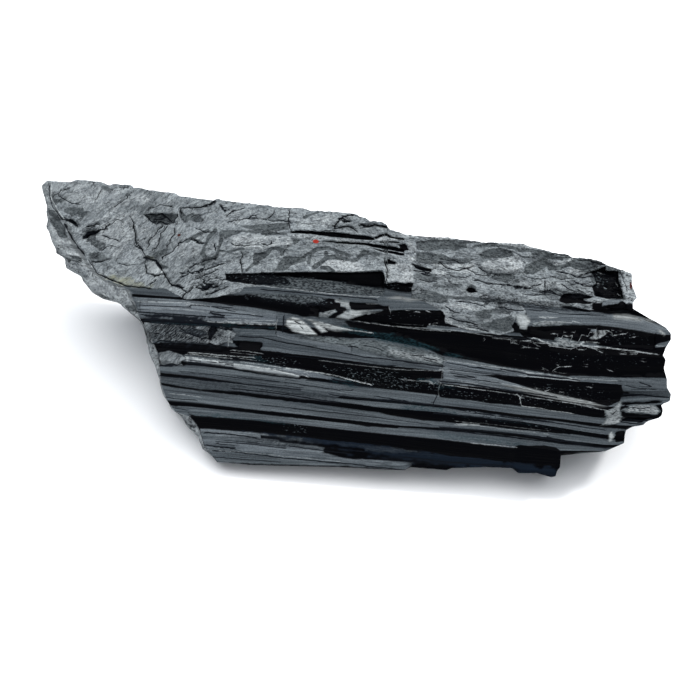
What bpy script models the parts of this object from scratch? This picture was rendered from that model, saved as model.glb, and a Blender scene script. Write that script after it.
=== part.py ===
# Tourmaline crystal: one solid chunk of a fluted prism, broken across its ends.
# World frame: the flutes (the crystal's long axis) run along +X, the chunk rests
# on its flat underside at Z = 0, and the fluted front face looks toward -Y.
import math
import bmesh
import bpy
import numpy as np

# ---- driving dimensions -------------------------------------------------
OVERALL_MM = 80.0         # overall length along the flutes; everything scales with it
UNIT_MM = 0.127           # one layout unit while the surfaces are laid out
SHEET_X0 = 357.0          # sheet column through the middle of the chunk
SHEET_Y0 = 477.0          # sheet row of the lowest point of the outline
TURN_DEG = 9.0            # turn of the layout sheet about the upright
LEAN_DEG = 45.0           # lean of the layout sheet from upright
SIGHT_MM = 642.0          # the sheet is drawn in perspective from this far off
SIGHT_AT = (350.0, 350.0) # sheet point straight ahead of it
AXIS_DROP = 0.112         # drop of the long axis per step along the sheet
TOP_WALL_MM = 1.8         # thickness of the upper back edge
FLOOR_SUM_MM = -2.9       # level of the underside, as height plus depth on the sheet
BACK_BULGE_MM = 1.6       # swell of the back face
BACK_FLUTE_MM = 0.55      # depth of the flutes on the back face
BACK_RIBS = [0.0, 0.6, -0.5, 0.9, -0.2, 0.4, -0.9, 0.7, -0.6]
FLOOR_ROWS = 5            # rows across the underside
CAP_SHARES = [0.1, 0.3, 0.55, 0.8]
ROUGH_MM = 0.34           # relief of the broken upper face
SIDE_COLUMNS = 23         # columns toward the left end; the right end has eight fewer
# Columns shared by every row, closer together at the ledge's end and the breaks.
SHARED = [330, 345, 359, 371, 381, 385, 398, 411, 415, 428, 441, 446, 458, 472, 486, 500, 512, 518, 528, 540]

# ---- layout sheet -------------------------------------------------------
# Points are (column, row) in sheet units, rows counted downward.
# Left edge of the front and top faces, and the widest reach of the broken end.
LEFT_RIM = [(48, 180), (53, 196), (55, 205), (62, 217), (70, 225), (76, 245), (83, 253),
            (88, 262), (97, 273), (108, 281), (120, 285), (134, 290), (135, 298), (141, 320),
            (150, 335), (158, 352), (160, 366), (161, 384), (168, 402), (176, 412), (190, 416),
            (197, 424), (200, 430), (204, 445), (212, 455), (217, 462)]
LEFT_REACH = [(41, 185), (46, 206), (46, 228), (52, 244), (55, 253), (64, 258), (66, 268),
              (80, 276), (89, 292), (100, 299), (116, 300.5), (120, 307), (131, 316), (141, 323),
              (145, 336), (149, 354), (155, 367), (158, 378), (161, 392), (168, 403), (172, 410),
              (180, 415), (186, 426), (197, 436), (203, 450), (210, 454), (217, 462)]
# Right end, stepped rod by rod.
RIGHT_RIM = [(625, 262), (632, 274), (632, 284), (637, 297), (633, 302), (633, 308), (642, 314),
             (656, 321), (666, 327), (671, 333), (671, 339), (666, 347), (663, 355), (666, 359),
             (664, 368), (667, 379), (667, 387), (671, 394), (670, 401), (661, 404), (663, 410),
             (661, 417), (647, 421), (643, 425), (627, 427), (625, 434), (624, 443), (610, 449),
             (604, 451.6), (567, 452.4), (561, 454), (560, 467), (557, 471), (555, 478)]

# Where the right end lies far behind its front rim, and the back lower corner.
RIGHT_DEEP = [(618, 262), (624, 300), (640, 340), (650, 385), (618, 418), (596, 446), (552, 453), (549, 478)]
CORNER = [(60, 304), (357, 333), (660, 372)]

# Each crease: (name, line, tilt of the strip below it). A line is a list of
# (column, row); a tilt is rise toward the sheet's front per step upward, at columns.
GREY = -0.36
CREASES = [
    ("outline", [(217, 462), (252, 465), (340, 467), (376, 469), (405, 470), (410, 467), (435, 469),
                 (446, 470), (452, 468), (487, 467), (512, 468), (518, 473), (537, 473),
                 (551, 477), (556, 476)], []),
    ("sill", [(217, 457), (290, 460.5), (350, 464), (400, 467), (410, 465), (446, 467.4),
              (512, 465.5), (519, 470), (551, 474), (560, 473)], [(200, -0.3), (405, -0.3), (420, 0.3)]),
    ("sill top", [(207, 446), (250, 450), (290, 454), (350, 459), (400, 462), (446, 463),
                  (512, 462), (519, 465), (560, 466)], [(200, -0.25), (400, -0.25), (430, 0.25), (520, 0.1)]),
    ("navy fold", [(200, 437), (250, 440.5), (290, 444.5), (350, 451), (400, 456), (450, 459),
                   (512, 460.7), (519, 463.7), (560, 465)], [(200, 0.2), (500, 0.12)]),
    ("black 3 foot", [(200, 427), (250, 431), (290, 434), (350, 442), (400, 448), (440, 452),
                      (480, 457), (512, 459.6), (519, 462.5), (560, 464)], [(200, -0.02), (500, -0.05)]),
    ("black 3 top", [(195, 417), (250, 420.5), (290, 424), (350, 431), (400, 436), (440, 440),
                     (480, 445), (514, 449), (519, 445), (560, 451)], [(200, 0.33), (500, 0.3), (560, 0.3)]),
    ("grey 2 top", [(170, 405.5), (200, 408), (250, 413), (290, 417), (350, 422.5), (398, 427.5),
                    (440, 430), (480, 433), (520, 438), (560, 444), (605, 448.5)],
     [(200, GREY), (500, GREY), (600, -0.3)]),
    ("black 2 top", [(168, 402), (200, 404.5), (250, 410), (290, 414), (350, 420.5), (398, 426),
                     (440, 428), (480, 430), (520, 434), (560, 440), (605, 445)], [(200, 0.34), (600, 0.3)]),
    ("grey 3 fold", [(160, 394), (200, 398), (250, 404), (290, 408.5), (350, 415.5), (400, 421.5),
                     (440, 425.5), (480, 428), (520, 432), (560, 437), (610, 442.5)],
     [(200, -0.42), (400, -0.42), (450, -0.2), (600, -0.25)]),
    ("grey 3 top", [(161, 384.5), (200, 389.5), (250, 396.5), (290, 401), (350, 409.5), (400, 416),
                    (440, 421), (480, 424), (520, 429), (560, 433), (608, 440)], [(200, -0.3), (600, -0.32)]),
    ("black 1 top", [(161, 382), (200, 387), (250, 393.5), (290, 397.5), (350, 405), (400, 410),
                     (440, 413), (480, 418), (520, 421.5), (560, 428), (608, 436), (630, 439)],
     [(200, 0.34), (400, 0.34), (600, 0.3)]),
    ("streak", [(160, 375.5), (200, 381), (250, 388), (290, 394), (350, 400), (400, 404), (440, 408),
                (480, 412), (520, 418), (560, 422), (600, 428), (640, 431)], [(200, -0.3), (600, -0.25)]),
    ("main foot", [(160, 373), (200, 377.5), (250, 384.5), (290, 389), (350, 397), (400, 401.5),
                   (440, 405.5), (480, 409.5), (520, 415), (560, 419), (600, 424), (645, 427)],
     [(200, 0.34), (600, 0.34)]),
    ("main top", [(160, 364), (200, 366), (250, 372), (290, 377), (350, 386), (400, 391), (440, 396),
                  (480, 401), (520, 406.5), (560, 412), (605, 418), (650, 420)], [(200, -0.42), (600, -0.38)]),
    ("bright foot", [(160, 360), (186, 362), (230, 367.5), (290, 374), (340, 380), (370, 384),
                     (400, 387), (440, 391), (480, 394.5), (520, 400), (560, 407), (605, 413),
                     (660, 413)], [(200, 0.34), (400, 0.33), (600, 0.3)]),
    ("bright top", [(150, 352), (184, 355), (230, 360), (262, 364), (290, 368), (320, 373),
                    (350, 379), (370, 382), (400, 383), (440, 383.5), (480, 387.5), (520, 392.5),
                    (560, 400), (608, 407), (664, 405)], [(200, -0.5), (370, -0.45), (420, 0.2), (600, 0.15)]),
    ("blade", [(150, 348), (183, 351), (210, 353), (250, 356.5), (290, 361), (350, 370), (400, 375),
               (440, 377), (480, 382), (520, 387.5), (560, 396), (608, 403.5), (667, 400)],
     [(200, 0.3), (400, 0.3), (450, -0.45), (600, -0.42)]),
    ("band 1 top", [(150, 343), (200, 346), (233, 348), (262, 351), (290, 354), (320, 357), (350, 361),
                    (380, 365), (400, 367), (440, 371), (480, 376), (500, 378.5), (520, 383.5),
                    (540, 387.5), (560, 392), (600, 400), (668, 394)],
     [(200, 0.05), (260, 0.26), (430, 0.3), (455, -0.35), (600, -0.3)]),
    ("dotted", [(147, 338), (200, 337), (240, 337), (275, 339), (290, 344), (320, 349), (350, 353),
                (380, 358), (400, 360), (440, 366), (480, 373.5), (500, 375), (520, 376), (540, 378),
                (560, 380), (600, 383), (667, 389)], [(200, -0.2), (420, -0.4), (470, 0.2), (600, 0.33)]),
    ("frost top", [(145, 331), (200, 330.5), (235, 330), (275, 330), (290, 333.5), (320, 336),
                   (350, 338), (376, 338), (400, 343), (425, 348), (443, 356), (480, 363), (500, 367),
                   (520, 370), (540, 373), (563, 376.5), (618, 377), (666, 379)],
     [(160, -0.1), (240, -0.42), (430, -0.48), (480, -0.36), (600, -0.32)]),
    ("teal fold", [(143, 325), (200, 326.6), (240, 327.6), (290, 329), (330, 333.5), (352, 335),
                   (400, 339.5), (430, 344), (450, 349), (480, 354), (525, 359), (560, 366),
                   (620, 371), (665, 370)], [(200, -0.1), (350, 0.1), (440, 0.2), (600, 0.22)]),
    ("band a foot", [(142, 319.5), (170, 320.5), (200, 322.5), (230, 325), (275, 325.5), (290, 326),
                     (320, 328.5), (350, 330), (400, 331.5), (440, 333.5), (480, 336), (500, 337.5),
                     (530, 341), (550, 348), (600, 350), (620, 352), (664, 355)],
     [(200, 0.33), (350, 0.25), (440, 0.32), (500, 0.28), (600, 0.25)]),
    ("band a top", [(135, 297), (180, 299.5), (205, 302), (230, 306), (250, 308.5), (283, 314),
                    (318, 317.5), (350, 320), (365, 321.5), (395, 325.5), (440, 330), (480, 333),
                    (500, 334.5), (520, 336), (540, 341), (560, 346), (600, 347), (640, 349),
                    (668, 347)], [(160, -0.34), (260, -0.34), (350, -0.1), (400, 0.1), (500, 0.0), (600, 0.3)]),
    ("lens 1 top", [(134.6, 294), (190, 298), (225, 296.5), (250, 296), (270, 299), (300, 304),
                    (320, 310), (355, 318.4), (380, 321.5), (400, 324.5), (430, 326.5), (450, 327.5),
                    (480, 331), (520, 333), (540, 338), (560, 343), (600, 344), (655, 345), (671, 340)],
     [(150, 0.2), (230, 0.34), (300, 0.3), (400, -0.3), (500, -0.2), (600, -0.2)]),
    ("hollow top", [(134, 290.5), (200, 291.5), (250, 292), (270, 294), (300, 299), (330, 308),
                    (355, 315.5), (375, 313), (410, 310.5), (440, 311), (450, 316), (480, 322),
                    (520, 326.5), (540, 327), (575, 326), (600, 326.5), (620, 328.5), (637, 331.5),
                    (655, 334.5), (671, 335)],
     [(160, -0.3), (300, -0.3), (345, 0.3), (400, 0.32), (440, 0.3), (480, -0.2), (540, 0.33), (640, 0.33)]),
    ("strip top", [(130, 288), (170, 288), (200, 288), (240, 286.5), (280, 288), (320, 293),
                   (380, 299), (420, 301), (445, 304), (480, 309), (517, 313.5), (560, 314.5),
                   (612, 313.5), (640, 316), (668, 328)],
     [(160, -0.4), (300, -0.3), (400, -0.5), (480, -0.3), (560, -0.48), (640, -0.45)]),
    ("ledge foot", [(120, 284), (170, 281), (200, 279), (240, 276), (265, 274.5), (300, 280),
                    (340, 285), (385, 289), (410, 292), (430, 295), (470, 299.5), (540, 306),
                    (600, 311), (634, 309), (650, 318)],
     [(160, -0.4), (240, -0.2), (330, -0.1), (400, -0.4), (480, -0.5), (540, -0.3), (620, 0.3)]),
    ("ledge lip", [(108, 280.5), (170, 275), (220, 272), (262, 271.5), (300, 271), (350, 271),
                   (383, 269), (388, 281), (412, 281), (420, 286), (445, 289), (470, 292), (540, 298),
                   (600, 302), (633, 303)],
     [(160, -0.45), (250, -0.2), (275, 0.30), (375, 0.32), (392, 0.42), (412, 0.4), (430, -0.3),
      (540, -0.45), (605, 0.36), (630, 0.36)]),
]
# Rows of the broken upper face, as shares of the way from the ledge lip to the top edge.
UPPER_SHARES = [0.10, 0.19, 0.28, 0.37, 0.46, 0.55, 0.64, 0.73, 0.82, 0.91]
TOP_EDGE = [(41, 180), (71, 180.5), (76, 178.5), (103, 181), (117, 182), (132, 185), (145, 189),
            (170, 191), (180, 195), (198, 197), (212, 201), (217, 197), (226, 200), (250, 203),
            (290, 206), (322, 209), (357, 213), (367, 218), (386, 222), (388, 227), (405, 234),
            (440, 236), (489, 240), (523, 243), (566, 252), (601, 260), (625, 268), (640, 274)]
UPPER_TILT = [(50, -0.40), (200, -0.46), (350, -0.50), (450, -0.56), (600, -0.62)]
# Shelves and hollows of the broken face: (column, row, half width, half height, rise in mm, turn in degrees)
UPPER_FORMS = [
    (255, 243, 36, 8, 0.55, 5), (150, 243, 16, 12, -0.45, 50), (160, 219, 16, 6, -0.5, 5),
    (192, 219, 12, 12, -0.4, 0), (330, 238, 44, 4, -0.9, 8), (388, 237, 14, 4, 0.45, 8),
    (438, 249, 28, 10, -0.4, 8), (500, 265, 22, 7, 0.45, 10), (540, 264, 16, 9, -0.4, 10),
    (606, 283, 15, 13, -0.9, 0), (575, 297, 18, 5, -0.5, 0), (398, 272, 15, 8, 0.8, 0),
    (96, 226, 18, 4, -0.5, -20), (110, 256, 16, 10, 0.4, 30), (342, 265, 14, 5, 0.35, 0),
    (212, 262, 24, 10, -0.25, 0), (296, 216, 30, 6, 0.3, 5), (470, 289, 6, 4, -0.5, 0),
]


def along(knots, at):
    cols = [float(k[0]) for k in knots]
    rows = [float(k[1]) for k in knots]
    return np.interp(at, cols, rows)


def crossing(line, rim, columns):
    # first column, walking inward, at which the line is inside the rim
    rim_rows = [float(p[1]) for p in rim]
    rim_cols = [float(p[0]) for p in rim]
    gap = columns - np.interp(line(columns), rim_rows, rim_cols)
    for i in range(len(columns) - 1):
        if gap[i] * gap[i + 1] <= 0.0 and gap[i] != gap[i + 1]:
            share = gap[i] / (gap[i] - gap[i + 1])
            return float(columns[i] + share * (columns[i + 1] - columns[i]))
    return float(columns[-1])


def smooth(t):
    t = np.clip(t, 0.0, 1.0)
    return t * t * (3.0 - 2.0 * t)


def wave(a, seed):
    # a seeded, repeatable broken line between -1 and 1
    rng = np.random.default_rng(seed)
    values = rng.uniform(-1.0, 1.0, 400)
    return np.interp(a, np.arange(400) - 100.0, values)


def facets(col, row, size, seed):
    # flat-sided random relief: the highest of a few tilted planes in each patch
    rng = np.random.default_rng(seed)
    best = np.full(np.shape(col), -9.0)
    for _ in range(46):
        cx = rng.uniform(30.0, 680.0)
        cy = rng.uniform(170.0, 320.0)
        tx = rng.uniform(-1.0, 1.0)
        ty = rng.uniform(-1.0, 1.0)
        far = np.hypot((col - cx) / 2.2, row - cy) / size
        best = np.maximum(best, 1.0 - far + 0.25 * (tx * (col - cx) / 2.2 + ty * (row - cy)) / size)
    return best


def row_lines():
    lines = []
    for _, knots, _ in CREASES:
        lines.append(lambda c, k=knots: along(k, c))
    lip = CREASES[-1][1]
    for share in UPPER_SHARES:
        lines.append(lambda c, s=share: along(lip, c) + s * (along(TOP_EDGE, c) - along(lip, c))
                     + 1.2 * wave(c / 17.0, int(s * 100)))
    lines.append(lambda c: along(TOP_EDGE, c))
    return lines


def spread(left, right):
    # columns of one row: squeezed toward its own ends, shared across the middle
    lead = left + (SHARED[0] - left) * np.linspace(0.0, 1.0, SIDE_COLUMNS, endpoint=False)
    trail = right - (right - SHARED[-1]) * np.linspace(0.0, 1.0, SIDE_COLUMNS - 8, endpoint=False)[::-1]
    return np.concatenate([lead, np.array(SHARED, dtype=float), trail])


def inside_columns(line, left_rim, right_rim):
    inward = np.arange(0.0, 560.0, 0.5)
    outward = np.arange(700.0, 500.0, -0.5)
    return crossing(line, left_rim, inward), crossing(line, right_rim, outward)


def front_rows():
    cols = []
    rows = []
    for line in row_lines():
        left, right = inside_columns(line, LEFT_RIM, RIGHT_RIM)
        col = spread(left, right)
        cols.append(col)
        rows.append(line(col))
    cols = np.array(cols)
    rows = np.array(rows)
    for j in range(1, len(rows)):
        rows[j] = np.minimum(rows[j], rows[j - 1] - 0.7)
    return cols, rows


def back_rows(count):
    # underside rows up to the back corner, then the rows of the back face
    cols = []
    rows = []
    for m in range(count):
        if m <= FLOOR_ROWS:
            share = m / FLOOR_ROWS
            line = lambda c, s=share: (1 - s) * (along(CREASES[0][1], c) - 1.0) + s * along(CORNER, c)
        else:
            share = (m - FLOOR_ROWS) / (count - 1.0 - FLOOR_ROWS)
            line = lambda c, s=share: (1 - s) * along(CORNER, c) + s * (along(TOP_EDGE, c) + 1.0)
        left, right = inside_columns(line, LEFT_RIM, RIGHT_DEEP)
        col = spread(left, right)
        cols.append(col)
        rows.append(line(col))
    return np.array(cols), np.array(rows)


def evened(level, reach=10):
    # running mean, so that a short jog in a crease leaves no ridge across the rows above
    padded = np.pad(level, reach, mode="edge")
    total = np.cumsum(np.insert(padded, 0, 0.0))
    span = 2 * reach + 1
    return (total[span:] - total[:-span]) / span


def front_depth(cols, rows):
    # integrate the strip tilts upward from the lower edge
    high = (SHEET_Y0 - rows) * UNIT_MM
    mm = (cols - SHEET_X0) * UNIT_MM
    depth = np.zeros_like(cols)
    fine = np.linspace(30.0, 690.0, 661)
    lines = row_lines()
    line_rows = np.array([line(fine) for line in lines])
    for j in range(1, len(line_rows)):
        line_rows[j] = np.minimum(line_rows[j], line_rows[j - 1] - 0.7)
    level = np.zeros_like(fine)
    levels = [level.copy()]
    for j in range(1, len(line_rows)):
        tilt_knots = CREASES[j][2] if j < len(CREASES) else UPPER_TILT
        step = (line_rows[j - 1] - line_rows[j]) * UNIT_MM
        level = level + along(tilt_knots, fine) * step
        levels.append(evened(level))
    for j in range(len(cols)):
        depth[j] = np.interp(cols[j], fine, levels[j]) + AXIS_DROP * mm[j]
    broken = len(CREASES) - 1
    shape = facets(cols, rows, 17.0, 5)
    fade = smooth((np.arange(len(cols))[:, None] - broken + 0.0) / 3.0)
    depth += ROUGH_MM * 2.4 * (shape - 0.55) * fade
    for cx, cy, rx, ry, rise, turn in UPPER_FORMS:
        c = math.cos(math.radians(turn))
        s = math.sin(math.radians(turn))
        u = ((cols - cx) * c + (rows - cy) * s) / rx
        v = (-(cols - cx) * s + (rows - cy) * c) / ry
        depth += rise * smooth(1.6 * (1.25 - np.hypot(u, v)))
    return mm, high, depth


def back_depth(cols, rows, front_cols, front):
    # the underside is level; the back face runs from its corner to the upper edge
    high = (SHEET_Y0 - rows) * UNIT_MM
    mm = (cols - SHEET_X0) * UNIT_MM
    level = level_out(high, FLOOR_SUM_MM)
    count = len(cols)
    depth = level.copy()
    for m in range(FLOOR_ROWS + 1, count):
        share = (m - FLOOR_ROWS) / (count - 1.0 - FLOOR_ROWS)
        corner_high = (SHEET_Y0 - along(CORNER, cols[m])) * UNIT_MM
        corner = level_out(corner_high, FLOOR_SUM_MM)
        edge = np.interp(cols[m], front_cols[-1], front[-1]) - TOP_WALL_MM
        swell = -BACK_BULGE_MM * math.sin(math.pi * share) ** 0.8
        flute = BACK_FLUTE_MM * BACK_RIBS[(m - FLOOR_ROWS) % len(BACK_RIBS)] * min(1.0, 4.0 * (1.0 - share))
        sway = 1.0 + 0.35 * wave(cols[m] / 60.0, 40 + m)
        depth[m] = (1.0 - share) * corner + share * edge + swell + flute * sway
    return mm, high, depth


def level_out(high, total):
    # depth at which a sheet height meets the level plane height + depth = total
    middle = (SHEET_Y0 - SIGHT_AT[1]) * UNIT_MM
    return (total - high) / (1.0 - (high - middle) / SIGHT_MM)


def to_world(mm, high, out):
    # nearer points spread less than farther ones, as the sheet is in perspective
    across = (SIGHT_AT[0] - SHEET_X0) * UNIT_MM
    middle = (SHEET_Y0 - SIGHT_AT[1]) * UNIT_MM
    mm = across + (mm - across) * (1.0 - out / SIGHT_MM)
    high = middle + (high - middle) * (1.0 - out / SIGHT_MM)
    turn = math.radians(TURN_DEG)
    lean = math.radians(LEAN_DEG)
    x = mm * math.cos(turn) - high * math.sin(turn) * math.sin(lean) + out * math.sin(turn) * math.cos(lean)
    y = mm * math.sin(turn) + high * math.cos(turn) * math.sin(lean) - out * math.cos(turn) * math.cos(lean)
    z = high * math.cos(lean) + out * math.sin(lean)
    return np.stack([x, y, z], axis=-1)


def rim_column(rim, row):
    return np.interp(row, [float(p[1]) for p in rim], [float(p[0]) for p in rim])


def left_column(row, share):
    # the broken left end swells outward behind its front rim
    push = np.interp(share, [0.0, 0.14, 0.4, 0.7, 1.0], [0.0, 0.8, 1.0, 0.75, 0.0])
    rim = rim_column(LEFT_RIM, row)
    chip = 3.5 * wave(row / 21.0 + 3.0 * share, 31) * np.sin(math.pi * share)
    return rim - push * (rim - rim_column(LEFT_REACH, row)) + np.maximum(chip, 0.0)


def right_column(row, share):
    # the rods step back unevenly behind the front rim
    rim = rim_column(RIGHT_RIM, row)
    deep = rim_column(RIGHT_DEEP, row)
    chip = 7.0 * wave(row / 14.0 + 5.0 * share, 32) * np.sin(math.pi * share)
    return rim - share ** 0.8 * (rim - deep) - np.maximum(chip, 0.0)


def build_mesh():
    cols, rows = front_rows()
    mm, high, front = front_depth(cols, rows)
    count = len(cols)
    half = list(range(0, count, 2))
    if half[-1] != count - 1:
        half.append(count - 1)
    back_cols, back_lines = back_rows(len(half))
    back_mm, back_high, back = back_depth(back_cols, back_lines, cols, front)
    verts = []

    def add(points):
        first = len(verts)
        verts.extend(points.reshape(-1, 3).tolist())
        return np.arange(first, first + points.shape[0] * points.shape[1]).reshape(points.shape[:2])

    f = add(to_world(mm, high, front))
    b = add(to_world(back_mm, back_high, back))
    left_pts = []
    right_pts = []
    for share in CAP_SHARES:
        for side, column, pts in ((0, left_column, left_pts), (-1, right_column, right_pts)):
            row = rows[half, side] + share * (back_lines[:, side] - rows[half, side])
            depth = front[half, side] + share * (back[:, side] - front[half, side])
            pts.append(to_world((column(row, share) - SHEET_X0) * UNIT_MM, (SHEET_Y0 - row) * UNIT_MM, depth))
    left = add(np.stack(left_pts, axis=1))
    right = add(np.stack(right_pts, axis=1))
    # upper and lower edge walls
    top_pts = []
    foot_pts = []
    for share in CAP_SHARES:
        for j, m, tuck, pts in ((-1, -1, -0.1, top_pts), (0, 0, 0.1, foot_pts)):
            across = mm[j, 1:-1] + share * (back_mm[m, 1:-1] - mm[j, 1:-1])
            up = high[j, 1:-1] + share * (back_high[m, 1:-1] - high[j, 1:-1]) + tuck
            depth = front[j, 1:-1] + share * (back[m, 1:-1] - front[j, 1:-1])
            pts.append(to_world(across, up, depth))
    top = add(np.stack(top_pts, axis=0))
    foot = add(np.stack(foot_pts, axis=0))

    faces = []
    n = f.shape[1]
    for j in range(count - 1):
        for i in range(n - 1):
            faces.append([f[j, i], f[j, i + 1], f[j + 1, i + 1], f[j + 1, i]])
    for m in range(len(half) - 1):
        for i in range(n - 1):
            faces.append([b[m, i], b[m + 1, i], b[m + 1, i + 1], b[m, i + 1]])

    def cap(side, inner, flip):
        for m in range(len(half) - 1):
            j0 = half[m]
            j1 = half[m + 1]
            chain = [f[j, side] for j in range(j0, j1 + 1)]
            ring = [inner[m, 0], inner[m + 1, 0]]
            face = chain[::-1] + [ring[0], ring[1]]
            faces.append(face if flip else face[::-1])
            for k in range(len(CAP_SHARES)):
                near0 = inner[m, k]
                near1 = inner[m + 1, k]
                last = k + 1 == len(CAP_SHARES)
                far0 = b[m, side] if last else inner[m, k + 1]
                far1 = b[m + 1, side] if last else inner[m + 1, k + 1]
                quad = [near0, far0, far1, near1]
                faces.append(quad if flip else quad[::-1])

    cap(0, left, True)
    cap(-1, right, False)

    def wall(row_f, row_b, strip, cap_l, cap_r, flip):
        grid = [list(row_f)]
        for k in range(len(CAP_SHARES)):
            grid.append([cap_l[k]] + list(strip[k]) + [cap_r[k]])
        grid.append(list(row_b))
        for k in range(len(CAP_SHARES) + 1):
            for i in range(n - 1):
                quad = [grid[k][i], grid[k][i + 1], grid[k + 1][i + 1], grid[k + 1][i]]
                faces.append(quad if flip else quad[::-1])

    wall(f[-1], b[-1], top, left[-1], right[-1], True)
    wall(f[0], b[0], foot, left[0], right[0], False)
    return verts, faces


def schorl_material():
    mat = bpy.data.materials.new("schorl")
    mat.use_nodes = True
    shader = mat.node_tree.nodes["Principled BSDF"]
    shader.inputs["Base Color"].default_value = (0.07, 0.075, 0.085, 1.0)
    shader.inputs["Roughness"].default_value = 0.38
    shader.inputs["Metallic"].default_value = 0.0
    mat.diffuse_color = (0.07, 0.075, 0.085, 1.0)
    return mat


def main():
    for old in list(bpy.data.objects):
        bpy.data.objects.remove(old, do_unlink=True)
    verts, faces = build_mesh()
    points = np.array(verts)
    points[:, 2] = np.maximum(points[:, 2], FLOOR_SUM_MM * math.cos(math.radians(LEAN_DEG)))
    low = points.min(axis=0)
    high = points.max(axis=0)
    points = points - np.array([(low[0] + high[0]) / 2.0, (low[1] + high[1]) / 2.0, low[2]])
    points[:, 2] = np.where(points[:, 2] < 0.02, 0.0, points[:, 2])
    points = points * 0.001 * OVERALL_MM / (high[0] - low[0])
    mesh = bpy.data.meshes.new("tourmaline_crystal")
    mesh.from_pydata([tuple(p) for p in points], [], [[int(i) for i in face] for face in faces])
    work = bmesh.new()
    work.from_mesh(mesh)
    bmesh.ops.triangulate(work, faces=work.faces[:])
    bmesh.ops.recalc_face_normals(work, faces=work.faces[:])
    work.to_mesh(mesh)
    work.free()
    mesh.materials.append(schorl_material())
    stone = bpy.data.objects.new("tourmaline_crystal", mesh)
    bpy.context.scene.collection.objects.link(stone)
    print("tourmaline_crystal", len(mesh.vertices), "points", len(mesh.polygons), "triangles")
    size = (points.max(axis=0) - points.min(axis=0)) * 1000.0
    print("size mm", [round(float(s), 2) for s in size])


main()
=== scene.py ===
import math

import bpy
import numpy as np
from mathutils import Matrix, Vector


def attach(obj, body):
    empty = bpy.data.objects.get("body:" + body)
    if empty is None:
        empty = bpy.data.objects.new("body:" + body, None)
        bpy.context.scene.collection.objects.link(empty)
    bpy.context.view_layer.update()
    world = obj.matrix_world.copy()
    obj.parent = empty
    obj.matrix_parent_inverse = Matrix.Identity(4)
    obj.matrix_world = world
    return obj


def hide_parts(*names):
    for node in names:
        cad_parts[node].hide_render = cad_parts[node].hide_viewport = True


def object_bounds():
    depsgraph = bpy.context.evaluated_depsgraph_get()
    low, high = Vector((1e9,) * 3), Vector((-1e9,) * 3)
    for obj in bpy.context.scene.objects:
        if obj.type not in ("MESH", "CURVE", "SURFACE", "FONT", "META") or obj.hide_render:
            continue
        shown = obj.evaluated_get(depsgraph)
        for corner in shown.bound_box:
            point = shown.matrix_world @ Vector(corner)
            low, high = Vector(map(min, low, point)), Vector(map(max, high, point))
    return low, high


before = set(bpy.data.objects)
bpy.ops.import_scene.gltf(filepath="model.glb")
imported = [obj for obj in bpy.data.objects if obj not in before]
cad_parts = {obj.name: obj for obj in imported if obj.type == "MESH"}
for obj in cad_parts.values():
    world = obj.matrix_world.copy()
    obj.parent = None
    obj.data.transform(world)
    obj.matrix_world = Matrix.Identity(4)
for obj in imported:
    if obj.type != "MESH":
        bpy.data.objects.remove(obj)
cadLow, cadHigh = [list(corner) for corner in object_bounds()]
print("frame loaded", [round(v, 4) for v in cadLow + cadHigh])

# The stone is laid out on a sheet that leans back: columns run along the crystal, rows count downward.
layout = {
    "unitMm": 0.127,        # one sheet unit
    "originColumn": 357.0,
    "originRow": 477.0,
    "turnDeg": 9.0,         # turn of the sheet about the upright
    "leanDeg": 45.0,        # lean of the sheet from upright
    "axisDrop": 0.112,      # the long axis drops this much per step along the sheet
    "floorSumMm": -2.9,     # level of the underside, as height plus depth on the sheet
    "sightMm": 642.0,       # the sheet is drawn in perspective from this far off
    "sightAt": (350.0, 350.0),
}

leftRim = [(48, 180), (53, 196), (55, 205), (62, 217), (70, 225), (76, 245), (83, 253),
            (88, 262), (97, 273), (108, 281), (120, 285), (134, 290), (135, 298), (141, 320),
            (150, 335), (158, 352), (160, 366), (161, 384), (168, 402), (176, 412), (190, 416),
            (197, 424), (200, 430), (204, 445), (212, 455), (217, 462)]
leftReach = [(47.5, 179.5), (41, 185), (46, 206), (46, 228), (52, 244), (55, 253), (64, 258), (66, 268),
              (80, 276), (89, 292), (100, 299), (116, 300.5), (120, 307), (131, 316), (141, 323),
              (145, 336), (149, 354), (155, 367), (158, 378), (161, 392), (168, 403), (172, 410),
              (180, 415), (186, 426), (197, 436), (203, 450), (210, 454), (217, 462)]
# Right end, stepped rod by rod.
rightRim = [(625, 262), (632, 274), (632, 284), (637, 297), (633, 302), (633, 308), (642, 314),
             (656, 321), (666, 327), (671, 333), (671, 339), (666, 347), (663, 355), (666, 359),
             (664, 368), (667, 379), (667, 387), (671, 394), (670, 401), (661, 404), (663, 410),
             (661, 417), (647, 421), (643, 425), (627, 427), (625, 434), (624, 443), (610, 449),
             (604, 451.6), (567, 452.4), (561, 454), (560, 467), (557, 471), (555, 478)]

# Where the right end lies far behind its front rim, and the back lower corner.
rightDeep = [(618, 262), (624, 300), (640, 340), (650, 385), (618, 418), (596, 446), (552, 453), (549, 478)]
corner = [(60, 304), (357, 333), (660, 372)]

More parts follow.
